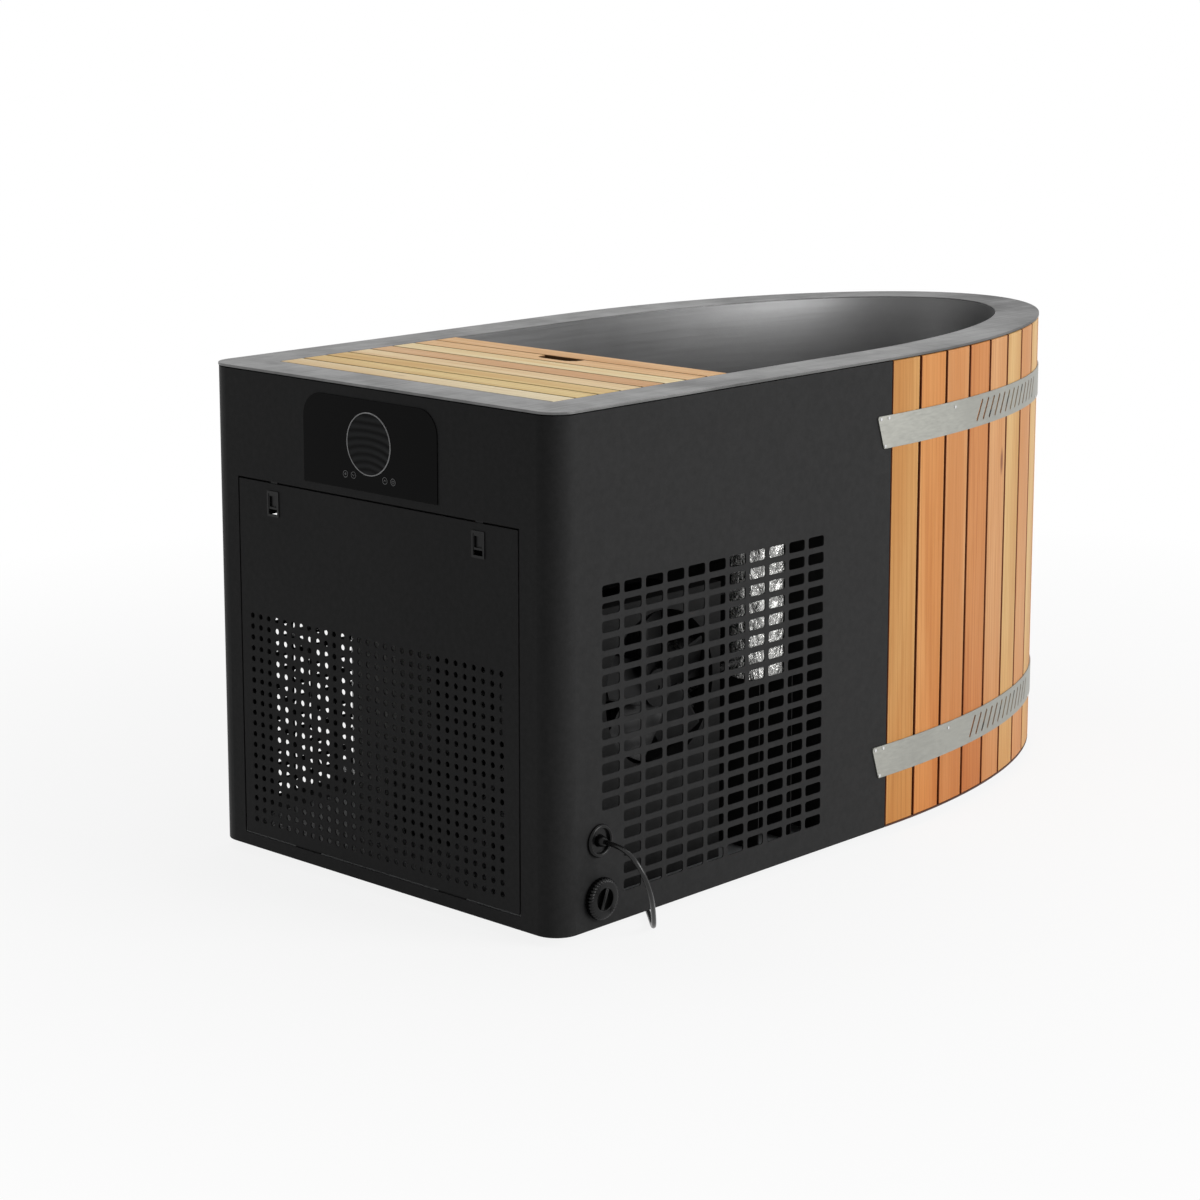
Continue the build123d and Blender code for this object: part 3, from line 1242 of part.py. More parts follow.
save("cover_screws", cover_screws)
save("cover_ledge", make_cover_ledge())
valve, knob = make_drain_valve()
save("drain_valve", valve)
save("drain_knob", knob)
save("drain_hose", make_drain_hose())
save("cable_grommet", make_grommet())
cord, cord_length = make_cord()
save("mains_cord", cord)
coil, coil_length, tail = make_coil()
save("cord_coil", coil)
save("mains_plug", make_plug(tail))
print("whole cord", round(cord_length + coil_length, 1))
shroud, motor, fan = make_fan()
save("fan_shroud", shroud)
save("fan_motor", motor)
save("fan_blades", fan)
save("condenser_coil", make_condenser())
compressor, mounts = make_compressor()
save("compressor", compressor)
save("compressor_mounts", mounts)
tank, stand = make_exchanger()
save("heat_exchanger", tank)
save("exchanger_stand", stand)
save("water_pump", make_pump())
canister, filter_lid = make_filter()
save("filter_housing", canister)
save("filter_lid", filter_lid)
save("water_pipes", make_pipes())
save("copper_lines", make_copper())
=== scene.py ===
# %% [markdown]
# # A cold plunge tub
# The tub has a vented black casing that holds its water chiller, a brushed steel rim and basin, and an
# oval end clad in upright boards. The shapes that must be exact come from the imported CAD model, which is
# loaded first and stays where it is. This script gives every piece its finish, and makes the pieces whose
# charm is in small things: the cord, the boards, the foil wrap, the finned block, the panel, the drain knob
# and the cable grommet.

# %% Load the frame
import json
from math import cos, pi, radians, sin

import bmesh
import bpy
from mathutils import Matrix, Vector, noise


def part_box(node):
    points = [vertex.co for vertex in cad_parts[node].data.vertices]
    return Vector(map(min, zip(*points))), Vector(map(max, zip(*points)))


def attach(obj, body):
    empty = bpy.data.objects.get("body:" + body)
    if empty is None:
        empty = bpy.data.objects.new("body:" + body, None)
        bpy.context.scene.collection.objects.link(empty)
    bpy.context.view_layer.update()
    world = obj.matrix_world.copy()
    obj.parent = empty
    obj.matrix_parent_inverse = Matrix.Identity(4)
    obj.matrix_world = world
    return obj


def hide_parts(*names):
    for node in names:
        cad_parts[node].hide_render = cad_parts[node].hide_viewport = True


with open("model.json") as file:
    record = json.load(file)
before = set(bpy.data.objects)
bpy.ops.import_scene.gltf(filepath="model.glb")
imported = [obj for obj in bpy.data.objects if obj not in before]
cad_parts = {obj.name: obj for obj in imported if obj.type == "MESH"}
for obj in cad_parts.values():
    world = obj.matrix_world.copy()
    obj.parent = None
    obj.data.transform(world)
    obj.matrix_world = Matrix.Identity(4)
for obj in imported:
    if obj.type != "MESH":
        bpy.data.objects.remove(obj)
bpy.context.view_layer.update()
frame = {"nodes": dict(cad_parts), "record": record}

nodes = frame["nodes"]
print("nodes in the frame:", len(nodes))

# %% [markdown]
# ## Small helpers
# A Blender material is a graph of nodes. Two short functions keep the rest of the script readable: one adds
# a node and fills its inputs with numbers or with the outputs of other nodes, and one starts a material
# with constants set on the shader's own sockets.

# %% Node helpers
def add_node(mat, kind, inputs=None, **settings):
    """Adds a node; an input is a number, a colour or another node's output."""
    made = mat.node_tree.nodes.new(kind)
    for key, value in settings.items():
        setattr(made, key, value)
    for key, value in (inputs or {}).items():
        if isinstance(value, bpy.types.NodeSocket):
            mat.node_tree.links.new(value, made.inputs[key])
        else:
            made.inputs[key].default_value = value
    return made


def new_material(name, colour, roughness, metallic=0.0, specular=0.5):
    """A Principled material; returns it with its shader node."""
    mat = bpy.data.materials.new(name)
    mat.use_nodes = True
    shader = mat.node_tree.nodes["Principled BSDF"]
    shader.inputs["Base Color"].default_value = (*colour, 1)
    shader.inputs["Roughness"].default_value = roughness
    shader.inputs["Metallic"].default_value = metallic
    shader.inputs["Specular IOR Level"].default_value = specular
    return mat, shader


def feed(mat, output, shader, socket):
    mat.node_tree.links.new(output, shader.inputs[socket])


# %% [markdown]
# Patterns read Object coordinates, which are metres in the tub's own frame, so a pattern stays on its piece
# when the piece moves. A Mapping node stretches them: a scale of 400 across and 4 along makes the long
# thin streaks of a brushed sheet or of straight grain.

# %% Pattern helpers
def stretched(mat, scale):
    where = add_node(mat, "ShaderNodeTexCoord").outputs["Object"]
    return add_node(mat, "ShaderNodeMapping", {"Vector": where, "Scale": scale}).outputs["Vector"]


def speckle(mat, scale, detail=4.0, roughness=0.5, distortion=0.0):
    """Noise on stretched coordinates, 0 to 1."""
    inputs = {"Vector": stretched(mat, scale), "Scale": 1.0, "Detail": detail,
              "Roughness": roughness, "Distortion": distortion}
    return add_node(mat, "ShaderNodeTexNoise", inputs).outputs["Fac"]


def remap(mat, value, low, high, out_low, out_high):
    inputs = {"Value": value, "From Min": low, "From Max": high, "To Min": out_low, "To Max": out_high}
    return add_node(mat, "ShaderNodeMapRange", inputs).outputs["Result"]


def blend_colours(mat, factor, first, second, mode="MIX"):
    made = add_node(mat, "ShaderNodeMix", data_type="RGBA", blend_type=mode)
    for index, value in ((0, factor), (6, first), (7, second)):
        if isinstance(value, bpy.types.NodeSocket):
            mat.node_tree.links.new(value, made.inputs[index])
        else:
            made.inputs[index].default_value = value if index == 0 else (*value, 1)
    return made.outputs[2]


def object_axes(mat):
    """The object's own X, Y and Z at each point of the surface."""
    return add_node(mat, "ShaderNodeSeparateXYZ",
                    {"Vector": add_node(mat, "ShaderNodeTexCoord").outputs["Object"]})


def bumpy(mat, shader, height, depth, strength=1.0):
    """Raises the surface by height times depth, in metres."""
    inputs = {"Height": height, "Distance": depth, "Strength": strength}
    feed(mat, add_node(mat, "ShaderNodeBump", inputs).outputs["Normal"], shader, "Normal")


# %% [markdown]
# ## Metal finishes
# The casing is folded sheet with a satin powder coat. Powder coat is smooth from afar and has a fine orange
# peel up close, and its gloss wanders a little over a large sheet, so the bump is tiny and the roughness
# follows a broad noise.

# %% Powder coat
def powder_coat(name, colour, roughness, specular):
    mat, shader = new_material(name, colour, roughness, specular=specular)
    broad = speckle(mat, (3, 3, 3), detail=3)
    feed(mat, remap(mat, broad, 0.3, 0.7, roughness - 0.05, roughness + 0.05), shader, "Roughness")
    dust = speckle(mat, (90, 90, 90), detail=6, roughness=0.7)
    brighter = tuple(channel * 1.35 for channel in colour)
    tint = blend_colours(mat, remap(mat, dust, 0.35, 0.75, 0, 1), colour, brighter)
    feed(mat, tint, shader, "Base Color")
    bumpy(mat, shader, speckle(mat, (1100, 1100, 1100), detail=2), 0.00006)
    return mat


casing_black = powder_coat("casing_black", (0.021, 0.021, 0.0212), 0.5, 0.07)
# A near-black coat that paints the shade inside the casing onto the pieces there.
painted_shade_black = powder_coat("painted_shade_black", (0.010, 0.010, 0.010), 0.6, 0.15)
frame_zinc = powder_coat("frame_zinc", (0.20, 0.205, 0.21), 0.55, 0.4)
enamel_black = powder_coat("enamel_black", (0.006, 0.006, 0.006), 0.3, 0.25)
print("powder coats made")

# %% [markdown]
# Brushed steel gets its look from thousands of fine parallel scratches. They are drawn as noise stretched
# along the brushing, which drives the roughness and a shallow bump, plus broad patches that are a little
# duller. The rim was brushed along the tub, the basin walls level all the way round. A painted shade
# darkens the rim towards the oval tip, standing in for a dark reflection there.

# %% Brushed steel
def brushed_steel(name, colour, roughness, across, patch=0.05, depth=0.00003, contrast=1.0):
    mat, shader = new_material(name, colour, roughness, metallic=1.0)
    scratches = speckle(mat, across, detail=5, roughness=0.65)
    patches = speckle(mat, (7, 7, 7), detail=4, roughness=0.6)
    spread = remap(mat, scratches, 0.3, 0.7, roughness - 0.08 * contrast, roughness + 0.10 * contrast)
    duller = add_node(mat, "ShaderNodeMath", {0: spread, 1: remap(mat, patches, 0.35, 0.65, 0, patch)},
                      operation="ADD").outputs[0]
    feed(mat, duller, shader, "Roughness")
    darker = tuple(channel * (1 - 0.2 * contrast) for channel in colour)
    tint = blend_colours(mat, remap(mat, scratches, 0.25, 0.75, 0, 1), darker, colour)
    dull = tuple(channel * (1 - 5 * patch) for channel in (1, 1, 1))
    tint = blend_colours(mat, remap(mat, patches, 0.42, 0.7, 0, 1), tint, dull, mode="MULTIPLY")
    feed(mat, tint, shader, "Base Color")
    bumpy(mat, shader, scratches, depth, 0.6)
    return mat


rim_steel = brushed_steel("rim_steel", (0.172, 0.172, 0.171), 0.36, (7, 420, 420), patch=0.1)
# The rim's colour is multiplied by a painted shade that deepens along X from 0.25 m to 0.8 m, towards the
# oval tip, in place of a dark reflection.
RIM_PAINTED_SHADE_START = 0.25
RIM_PAINTED_SHADE_END = 0.8
RIM_TIP_PAINTED_SHADE = (0.45, 0.45, 0.45)
rim_shader = rim_steel.node_tree.nodes["Principled BSDF"]
along = object_axes(rim_steel).outputs["X"]
brushed_tint = rim_shader.inputs["Base Color"].links[0].from_socket
painted_tip_shade = remap(rim_steel, along, RIM_PAINTED_SHADE_START, RIM_PAINTED_SHADE_END, 0, 1)
feed(rim_steel, blend_colours(rim_steel, painted_tip_shade, brushed_tint, RIM_TIP_PAINTED_SHADE, mode="MULTIPLY"), rim_shader,
     "Base Color")
basin_steel = brushed_steel("basin_steel", (0.40, 0.40, 0.402), 0.30, (5, 5, 900), patch=0.03, depth=0.000001,
                            contrast=0.35)
band_steel = brushed_steel("band_steel", (0.385, 0.385, 0.352), 0.50, (60, 60, 420), patch=0.015,
                           depth=0.00001)
screw_steel = brushed_steel("screw_steel", (0.80, 0.80, 0.81), 0.18, (900, 900, 900), patch=0.02)
# The condenser's aluminium fins get a near-black metal: painted shade for the dark inside of the casing.
fin_shade_metal = brushed_steel("fin_shade_metal", (0.045, 0.046, 0.048), 0.4, (60, 600, 600))
print("brushed metals made")

# %% [markdown]
# Foil wrap is thin, so it crumples into flat facets with sharp creases. Voronoi cells give the facets and
# noise gives the small wrinkles inside them; the mesh of the wrap is crumpled too, further down.

# %% Foil
foil, foil_shader = new_material("foil", (0.82, 0.82, 0.80), 0.2, metallic=1.0)
facets = add_node(foil, "ShaderNodeTexVoronoi", {"Vector": stretched(foil, (70, 70, 38)), "Scale": 1.0,
                  "Randomness": 1.0}, feature="F1").outputs["Distance"]
wrinkles = speckle(foil, (260, 260, 120), detail=5, distortion=0.6)
crumple = add_node(foil, "ShaderNodeMath", {0: facets, 1: wrinkles}, operation="ADD").outputs[0]
bumpy(foil, foil_shader, crumple, 0.004)
feed(foil, remap(foil, wrinkles, 0.3, 0.7, 0.12, 0.34), foil_shader, "Roughness")
print("foil made")

# %% [markdown]
# ## Wood
# The boards are straight-grained softwood with a thin clear oil, and no two have the same tone. One function
# makes the finish for a tone and a grain direction. Its colour has four layers: broad bands where the board
# is warmer, growth rings as a stretched wave, fine pores as streaks, and now and then a small knot.

# %% Wood finish
def wood(name, tone, along):
    """Softwood in a tone, with its grain along "Y" or "Z"; a level board's faces that don't face up get
    painted shade.
    """
    def grain(across, length):
        return (across, length, across) if along == "Y" else (across, across, length)

    mat, shader = new_material(name, tone, 0.5, specular=0.22)
    warm = (tone[0] * 0.93, tone[1] * 0.74, tone[2] * 0.55)
    pale = tuple(min(channel * 1.16, 1) for channel in tone)
    bands = speckle(mat, grain(16, 0.9), detail=3, distortion=0.5)
    colour = blend_colours(mat, remap(mat, bands, 0.33, 0.67, 0, 1), pale, warm)
    rings = add_node(mat, "ShaderNodeTexWave",
                     {"Vector": stretched(mat, grain(52, 1.1)), "Scale": 1.0, "Distortion": 13.0,
                      "Detail": 4.0, "Detail Scale": 0.5, "Detail Roughness": 0.6},
                     bands_direction="DIAGONAL").outputs["Fac"]
    ring_tone = (tone[0] * 0.80, tone[1] * 0.60, tone[2] * 0.42)
    colour = blend_colours(mat, remap(mat, rings, 0.6, 1.0, 0, 0.38), colour, ring_tone)
    pores = speckle(mat, grain(420, 7), detail=4, roughness=0.7)
    pore_tone = (tone[0] * 0.66, tone[1] * 0.46, tone[2] * 0.30)
    colour = blend_colours(mat, remap(mat, pores, 0.52, 0.75, 0, 0.5), colour, pore_tone)
    cells = add_node(mat, "ShaderNodeTexVoronoi", {"Vector": stretched(mat, grain(9, 2.6)), "Scale": 1.0},
                     feature="F1").outputs["Distance"]
    knot = remap(mat, cells, 0.030, 0.075, 0.85, 0)
    colour = blend_colours(mat, knot, colour, (tone[0] * 0.32, tone[1] * 0.18, tone[2] * 0.12))
    # Every face of a level slat that doesn't face up is blended towards a near-black brown: painted shade for
    # the gaps between the slats.
    if along == "Y":
        facing = add_node(mat, "ShaderNodeSeparateXYZ",
                          {"Vector": add_node(mat, "ShaderNodeNewGeometry").outputs["Normal"]})
        side = remap(mat, facing.outputs["Z"], 0.1, 0.8, 0.85, 0)
        colour = blend_colours(mat, side, colour, (0.055, 0.020, 0.008))
    else:
        # The upright boards turn darker and warmer towards their foot.
        foot = remap(mat, object_axes(mat).outputs["Z"], 0.02, 0.30, 0.75, 0)
        colour = blend_colours(mat, foot, colour, (1.0, 0.78, 0.52), mode="MULTIPLY")
    feed(mat, colour, shader, "Base Color")
    feed(mat, remap(mat, pores, 0.3, 0.7, 0.42, 0.6), shader, "Roughness")
    bumpy(mat, shader, pores, 0.0002, 0.7)
    return mat


# %% [markdown]
# A maker sorts boards by eye, so the tones have plain names, and the order in which they stand is a
# list of those names. The cover's slats come from a paler batch than the upright boards. The upright
# boards have a dark wood tone on their joint sides; the slats' faces that don't face up get painted shade.

# %% Wood tones
tones = {
    "golden": (0.52, 0.285, 0.100),
    "orange": (0.56, 0.265, 0.090),
    "tan": (0.57, 0.300, 0.130),
    "russet": (0.48, 0.205, 0.068),
    "peach": (0.55, 0.305, 0.140),
    "straw": (0.56, 0.375, 0.165),
    "cream": (0.60, 0.375, 0.215),
}
slat_tones = {
    "pale": (0.86, 0.78, 0.55),
    "honey": (0.74, 0.56, 0.24),
    "oat": (0.80, 0.62, 0.36),
    "rose": (0.66, 0.41, 0.20),
    "butter": (0.90, 0.79, 0.50),
    "amber": (0.72, 0.46, 0.22),
}
stave_finishes = {name: wood(f"stave_{name}", tone, "Z") for name, tone in tones.items()}
slat_finishes = {name: wood(f"slat_{name}", tone, "Y") for name, tone in slat_tones.items()}
board_side = wood("board_side", (0.17, 0.050, 0.018), "Z")
stave_order = ["golden", "orange", "tan", "russet", "peach", "straw", "peach", "straw", "tan", "orange",
               "golden", "straw", "russet", "tan", "peach", "golden", "cream", "orange", "tan", "straw",
               "peach", "russet", "golden", "tan"]
slat_order = ["pale", "honey", "honey", "oat", "rose", "butter", "amber", "amber"]
print("wood tones:", ", ".join([*tones, *slat_tones]))

# %% [markdown]
# ## Plastics and rubber
# Moulded plastic has a fine spark-eroded texture, and rubber a soft dusty one. The glossy panel is a smooth
# sheet whose few faint wipe marks only show in its gloss.

# %% Plastics
def moulded(name, colour, roughness, grain_size=900, depth=0.00005, specular=0.35):
    mat, shader = new_material(name, colour, roughness, specular=specular)
    grain = speckle(mat, (grain_size,) * 3, detail=3)
    feed(mat, remap(mat, grain, 0.3, 0.7, roughness - 0.06, roughness + 0.06), shader, "Roughness")
    dust = speckle(mat, (25, 25, 25), detail=5)
    lighter = tuple(channel * 1.5 for channel in colour)
    feed(mat, blend_colours(mat, remap(mat, dust, 0.4, 0.8, 0, 1), colour, lighter), shader, "Base Color")
    bumpy(mat, shader, grain, depth)
    return mat


knob_black = moulded("knob_black", (0.003, 0.003, 0.0031), 0.22, 900, 0.00003, 0.2)
plastic_black = moulded("plastic_black", (0.007, 0.007, 0.0072), 0.36, specular=0.2)
rubber_black = moulded("rubber_black", (0.010, 0.010, 0.010), 0.6, 500, 0.0001, 0.25)
filter_grey = moulded("filter_grey", (0.55, 0.55, 0.54), 0.35)
foam_cream = moulded("foam_cream", (0.72, 0.64, 0.42), 0.8, 300, 0.0006)
backing_brown = moulded("backing_brown", (0.055, 0.016, 0.007), 0.6, 200, 0.0002)
icon_grey = moulded("icon_grey", (0.26, 0.26, 0.265), 0.4)
ring_grey = moulded("ring_grey", (0.42, 0.42, 0.425), 0.35)
panel_gloss = moulded("panel_gloss", (0.0016, 0.0016, 0.0017), 0.16, 60, 0.00002, 0.045)
print("plastics made")

# %% [markdown]
# Behind the grille the water pipes and the copper lines are wrapped in black tape that has wrinkled as it
# was wound. Distorted noise gives the folds, which drive both the bump and the gloss.

# %% Pipe wrap
pipe_wrap, wrap_shader = new_material("pipe_wrap", (0.012, 0.012, 0.012), 0.28, specular=0.5)
folds = speckle(pipe_wrap, (120, 120, 90), detail=5, roughness=0.6, distortion=1.4)
bumpy(pipe_wrap, wrap_shader, folds, 0.005)
feed(pipe_wrap, remap(pipe_wrap, folds, 0.3, 0.7, 0.18, 0.42), wrap_shader, "Roughness")
print("pipe wrap made")

# %% [markdown]
# ## The display
# The round window has about eight soft ridges that run across it and arch up in the middle, more so lower
# down. They are a sine of a warped height: the height above the window's middle plus a share of the
# sideways distance squared.

# %% Display window
ring_low, ring_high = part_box("display_ring")
window_middle = (Vector(ring_low) + Vector(ring_high)) / 2
RIDGE_PITCH = 0.0122
RIDGE_ARCH = 1.7
ARCH_PER_METRE = -24.0

window_dark, window_shader = new_material("window_dark", (0.006, 0.006, 0.006), 0.3, specular=0.05)


def window_math(operation, first, second):
    made = add_node(window_dark, "ShaderNodeMath", {0: first, 1: second}, operation=operation)
    return made.outputs[0]


split = object_axes(window_dark)
sideways = window_math("SUBTRACT", split.outputs["Y"], window_middle.y)
height = window_math("SUBTRACT", split.outputs["Z"], window_middle.z)
lower_more = window_math("ADD", window_math("MULTIPLY", height, ARCH_PER_METRE), 1.0)
arch = window_math("MULTIPLY", window_math("MULTIPLY", sideways, sideways), RIDGE_ARCH * 2)
warped = window_math("ADD", height, window_math("MULTIPLY", arch, lower_more))
wave = window_math("SINE", window_math("MULTIPLY", warped, 2 * pi / RIDGE_PITCH), 0.0)
ridges = remap(window_dark, wave, -1, 1, 0, 1)
feed(window_dark, blend_colours(window_dark, ridges, (0.0015, 0.0015, 0.0015), (0.030, 0.031, 0.032)),
     window_shader, "Base Color")
bumpy(window_dark, window_shader, ridges, 0.0008)
print("display window at", [round(value, 3) for value in window_middle])

# %% [markdown]
# ## Finishes on the CAD pieces
# The record names a finish slot for every node. One table turns slots into materials, and a few nodes are
# picked out by name where one slot holds pieces that look different.

# %% Dress the nodes
slot_finish = {
    "rim_steel": rim_steel,
    "basin_steel": basin_steel,
    "black_casing": casing_black,
    "galvanised": frame_zinc,
    "band_sheet": band_steel,
    "screw_steel": screw_steel,
    "stave_wood": stave_finishes["golden"],
    "slat_wood": slat_finishes["amber"],
    "backing_board": backing_brown,
    "foam": foam_cream,
    "gloss_black": panel_gloss,
    "display_dark": window_dark,
    "display_grey": ring_grey,
    "icon_grey": icon_grey,
    "black_plastic": plastic_black,
    "black_rubber": rubber_black,
    "black_enamel": enamel_black,
    "fin_aluminium": fin_shade_metal,
    "foil": foil,
    "filter_plastic": filter_grey,
    "copper": pipe_wrap,
}
node_finish = {f"cover_slat_{index + 1}": slat_finishes[name] for index, name in enumerate(slat_order)}
node_finish["water_pipes"] = pipe_wrap
# The fan shroud, the exchanger stand and the bulkhead behind the grille get that near-black coat in place of
# their galvanised slot: painted shade for the dark inside of the casing.
for name in ("fan_shroud", "exchanger_stand", "bulkhead"):
    node_finish[name] = painted_shade_black


def dress(obj, mat):
    obj.data.materials.clear()
    obj.data.materials.append(mat)


for part in frame["record"]["subparts"]:
    dress(nodes[part["node"]], node_finish.get(part["node"], slot_finish[part["material_slot"]]))

# %% [markdown]
# ## The cord
# The mains cord leaves its strain relief low on the side, bends down to the floor under its own weight, and
# runs in under the tub. The length that nobody sees lies in a neat coil behind the tub. It is one NURBS
# curve: the route's points listed one by one, then the coil's turns from a formula. The half turns shrink by
# half a pitch each, climb to the second layer, and grow again. The curve's order is set after its points are
# added, because before that Blender holds it at straight runs.

# %% Cord
CORD_RADIUS = 0.0039
FLOOR_LINE = 0.004
cord_exit = (-0.707, -0.407, 0.154)
cord_route = [
    cord_exit,
    (-0.707, -0.448, 0.154),
    (-0.701, -0.476, 0.124),
    (-0.685, -0.480, 0.084),
    (-0.662, -0.465, 0.045),
    (-0.633, -0.440, FLOOR_LINE),
    (-0.584, -0.386, FLOOR_LINE),
    (-0.522, -0.312, FLOOR_LINE),
    (-0.458, -0.222, FLOOR_LINE),
    (-0.402, -0.125, FLOOR_LINE),
    (-0.356, -0.023, FLOOR_LINE),
    (-0.321, 0.084, FLOOR_LINE),
    (-0.298, 0.194, FLOOR_LINE),
    (-0.284, 0.305, FLOOR_LINE),
    (-0.278, 0.417, FLOOR_LINE),
    (-0.278, 0.525, FLOOR_LINE),
]
COIL_OUTER = 0.055
COIL_PITCH = 0.0086
COIL_HALF_TURNS = 5
COIL_TAIL = 0.048
POINTS_PER_HALF = 10


def coil_points(start):
    """The coil's turns from where the cord arrives, heading +Y, and its straight tail."""
    shrinking = [COIL_OUTER - COIL_PITCH / 2 * turn for turn in range(COIL_HALF_TURNS)]
    steps = [(radius, 0) for radius in shrinking] + [(shrinking[-1] - COIL_PITCH / 2, COIL_PITCH)]
    steps += [(radius, 0) for radius in reversed(shrinking)]
    place = Vector(start)
    way = 1
    points = [place.copy()]
    for radius, climb in steps:
        for step in range(1, POINTS_PER_HALF + 1):
            turn = pi * step / POINTS_PER_HALF
            across = -way * radius * (1 - cos(turn))
            lift = climb * step / POINTS_PER_HALF
            points.append(place + Vector((across, way * radius * sin(turn), lift)))
        place = points[-1].copy()
        way = -way
    points.append(place + Vector((0, way * COIL_TAIL, 0)))
    return points


# %% [markdown]
# The last route point and the coil's first point leave a short straight between them, so the cord
# enters its coil without a kink.

# %% Cord curve
COIL_START = (-0.278, 0.5328, FLOOR_LINE)
cord_data = bpy.data.curves.new("mains_cord_curve", "CURVE")
cord_data.dimensions = "3D"
cord_data.resolution_u = 8
cord_data.bevel_depth = CORD_RADIUS
cord_data.bevel_resolution = 4
cord_data.use_fill_caps = True
spline = cord_data.splines.new("NURBS")
cord_points = [Vector(point) for point in cord_route] + coil_points(COIL_START)
spline.points.add(len(cord_points) - 1)
for target, point in zip(spline.points, cord_points):
    target.co = (*point, 1)
spline.order_u = 3
spline.use_endpoint_u = True
cord = bpy.data.objects.new("power_cord", cord_data)
bpy.context.collection.objects.link(cord)
cord_jacket = moulded("cord_jacket", (0.005, 0.005, 0.005), 0.26, 700, 0.00002, 0.4)
dress(cord, cord_jacket)
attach(cord, "tub")
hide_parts("mains_cord", "cord_coil")
print("cord points:", len(cord_points))

# %% [markdown]
# ## The boards
# Each board is a block that is bent to follow the oval. A cube is stretched to the board's size, cut into
# strips across its width, and its long outer edges are eased with a bevel. Then every vertex is carried
# from the flat board onto the oval: its sideways place becomes a distance along the outline, and its
# depth is laid off square to it.

# %% Oval outline
HALF_WIDTH = 0.394
OVAL_REACH = 0.795
OVAL_START = 0.004
WOOD_START = 0.002
STAVE_GAP = 0.0045
STAVE_DEPTH = 0.020
STAVE_COUNT = 24
OUTLINE_STEPS = 2000


def outline_line():
    """Points along the outside of the boards, each with its distance from the casing."""
    points = [Vector((WOOD_START, -HALF_WIDTH))]
    for step in range(OUTLINE_STEPS + 1):
        angle = -pi / 2 + pi * step / OUTLINE_STEPS
        points.append(Vector((OVAL_START + OVAL_REACH * cos(angle), HALF_WIDTH * sin(angle))))
    points.append(Vector((WOOD_START, HALF_WIDTH)))
    distances = [0.0]
    for first, second in zip(points, points[1:]):
        distances.append(distances[-1] + (second - first).length)
    return points, distances


line_points, line_distances = outline_line()
wood_length = line_distances[-1]
print("the boards cover", round(wood_length, 3), "m of outline")


def on_outline(distance):
    """The point at a distance along the outline, and the way out from it."""
    low, high = 0, len(line_distances) - 1
    while high - low > 1:
        middle = (low + high) // 2
        if line_distances[middle] <= distance:
            low = middle
        else:
            high = middle
    along = (line_points[high] - line_points[low]).normalized()
    point = line_points[low] + along * (distance - line_distances[low])
    return point, Vector((along.y, -along.x))


# %% [markdown]
# The boards of one CAD node stay together as one object with a material slot for each tone, so a face's
# material index says which tone its board has. The last slot is for the sides in the joints.

# %% Boards
STAVE_EASE = 0.0018
STAVE_JOINT = 0.006
BOARD_STRIPS = 6


def add_board(mesh, start, width, low, high, tone_index):
    """One upright board, bent onto the oval."""
    board = bmesh.new()
    bmesh.ops.create_cube(board, size=1)
    bmesh.ops.scale(board, vec=(width, STAVE_DEPTH, high - low), verts=board.verts)
    long_edges = [edge for edge in board.edges
                  if abs(edge.verts[0].co.z - edge.verts[1].co.z) > (high - low) / 2
                  and edge.verts[0].co.y < 0]
    end_edges = [edge for edge in board.edges
                 if abs(edge.verts[0].co.x - edge.verts[1].co.x) > width / 2 and edge.verts[0].co.y < 0]
    bmesh.ops.bevel(board, geom=long_edges + end_edges, offset=STAVE_EASE, offset_type="OFFSET", segments=3,
                    profile=0.5, affect="EDGES", material=-1)
    wide = [edge for edge in board.edges if abs(edge.verts[0].co.x - edge.verts[1].co.x) > width / 2]
    bmesh.ops.subdivide_edges(board, edges=wide, cuts=BOARD_STRIPS - 1, use_grid_fill=True)
    board.normal_update()
    for face in board.faces:
        face.material_index = len(tones) if abs(face.normal.x) > 0.6 else tone_index
    for vert in board.verts:
        point, out = on_outline(start + width / 2 + vert.co.x)
        depth = STAVE_DEPTH / 2 + vert.co.y
        vert.co = Vector((point.x - out.x * depth, point.y - out.y * depth, (low + high) / 2 + vert.co.z))
    bmesh.ops.recalc_face_normals(board, faces=board.faces)
    data = bpy.data.meshes.new("board")
    board.to_mesh(data)
    board.free()
    mesh.from_mesh(data)
    bpy.data.meshes.remove(data)


def link_object(name, mesh, finishes, body):
    """Turns a bmesh into an object that rides on a body."""
    data = bpy.data.meshes.new(name)
    mesh.to_mesh(data)
    mesh.free()
    obj = bpy.data.objects.new(name, data)
    bpy.context.collection.objects.link(obj)
    for mat in finishes:
        data.materials.append(mat)
    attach(obj, body)
    return obj


stave_nodes = sorted(name for name in nodes if name.startswith("staves_"))
boards_per_node = STAVE_COUNT // len(stave_nodes)
stave_pitch = (wood_length + STAVE_GAP) / STAVE_COUNT
tone_names = list(tones)
for group, node_name in enumerate(stave_nodes):
    low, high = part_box(node_name)
    boards = bmesh.new()
    for index in range(group * boards_per_node, (group + 1) * boards_per_node):
        tone_index = tone_names.index(stave_order[index])
        inset = (STAVE_JOINT - STAVE_GAP) / 2
        add_board(boards, index * stave_pitch + inset, stave_pitch - STAVE_JOINT, low[2], high[2], tone_index)
    finishes = [stave_finishes[name] for name in tone_names] + [board_side]
    stave_object = link_object(f"boards_{group + 1}", boards, finishes, "tub")
    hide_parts(node_name)
    print(stave_object.name, "faces:", len(stave_object.data.polygons))

# %% [markdown]
# ## Foil-wrapped heat exchanger
# The bright crumpled thing behind the grille is a tank in foil. It starts as a tall closed cylinder whose
# sides are cut into rings, and noise pulls its vertices in by uneven amounts, so that the creases catch
# the light at every angle.

# %% Foil wrap
WRAP_RINGS = 34
WRAP_SIDES = 56
WRAP_SLACK = 0.002


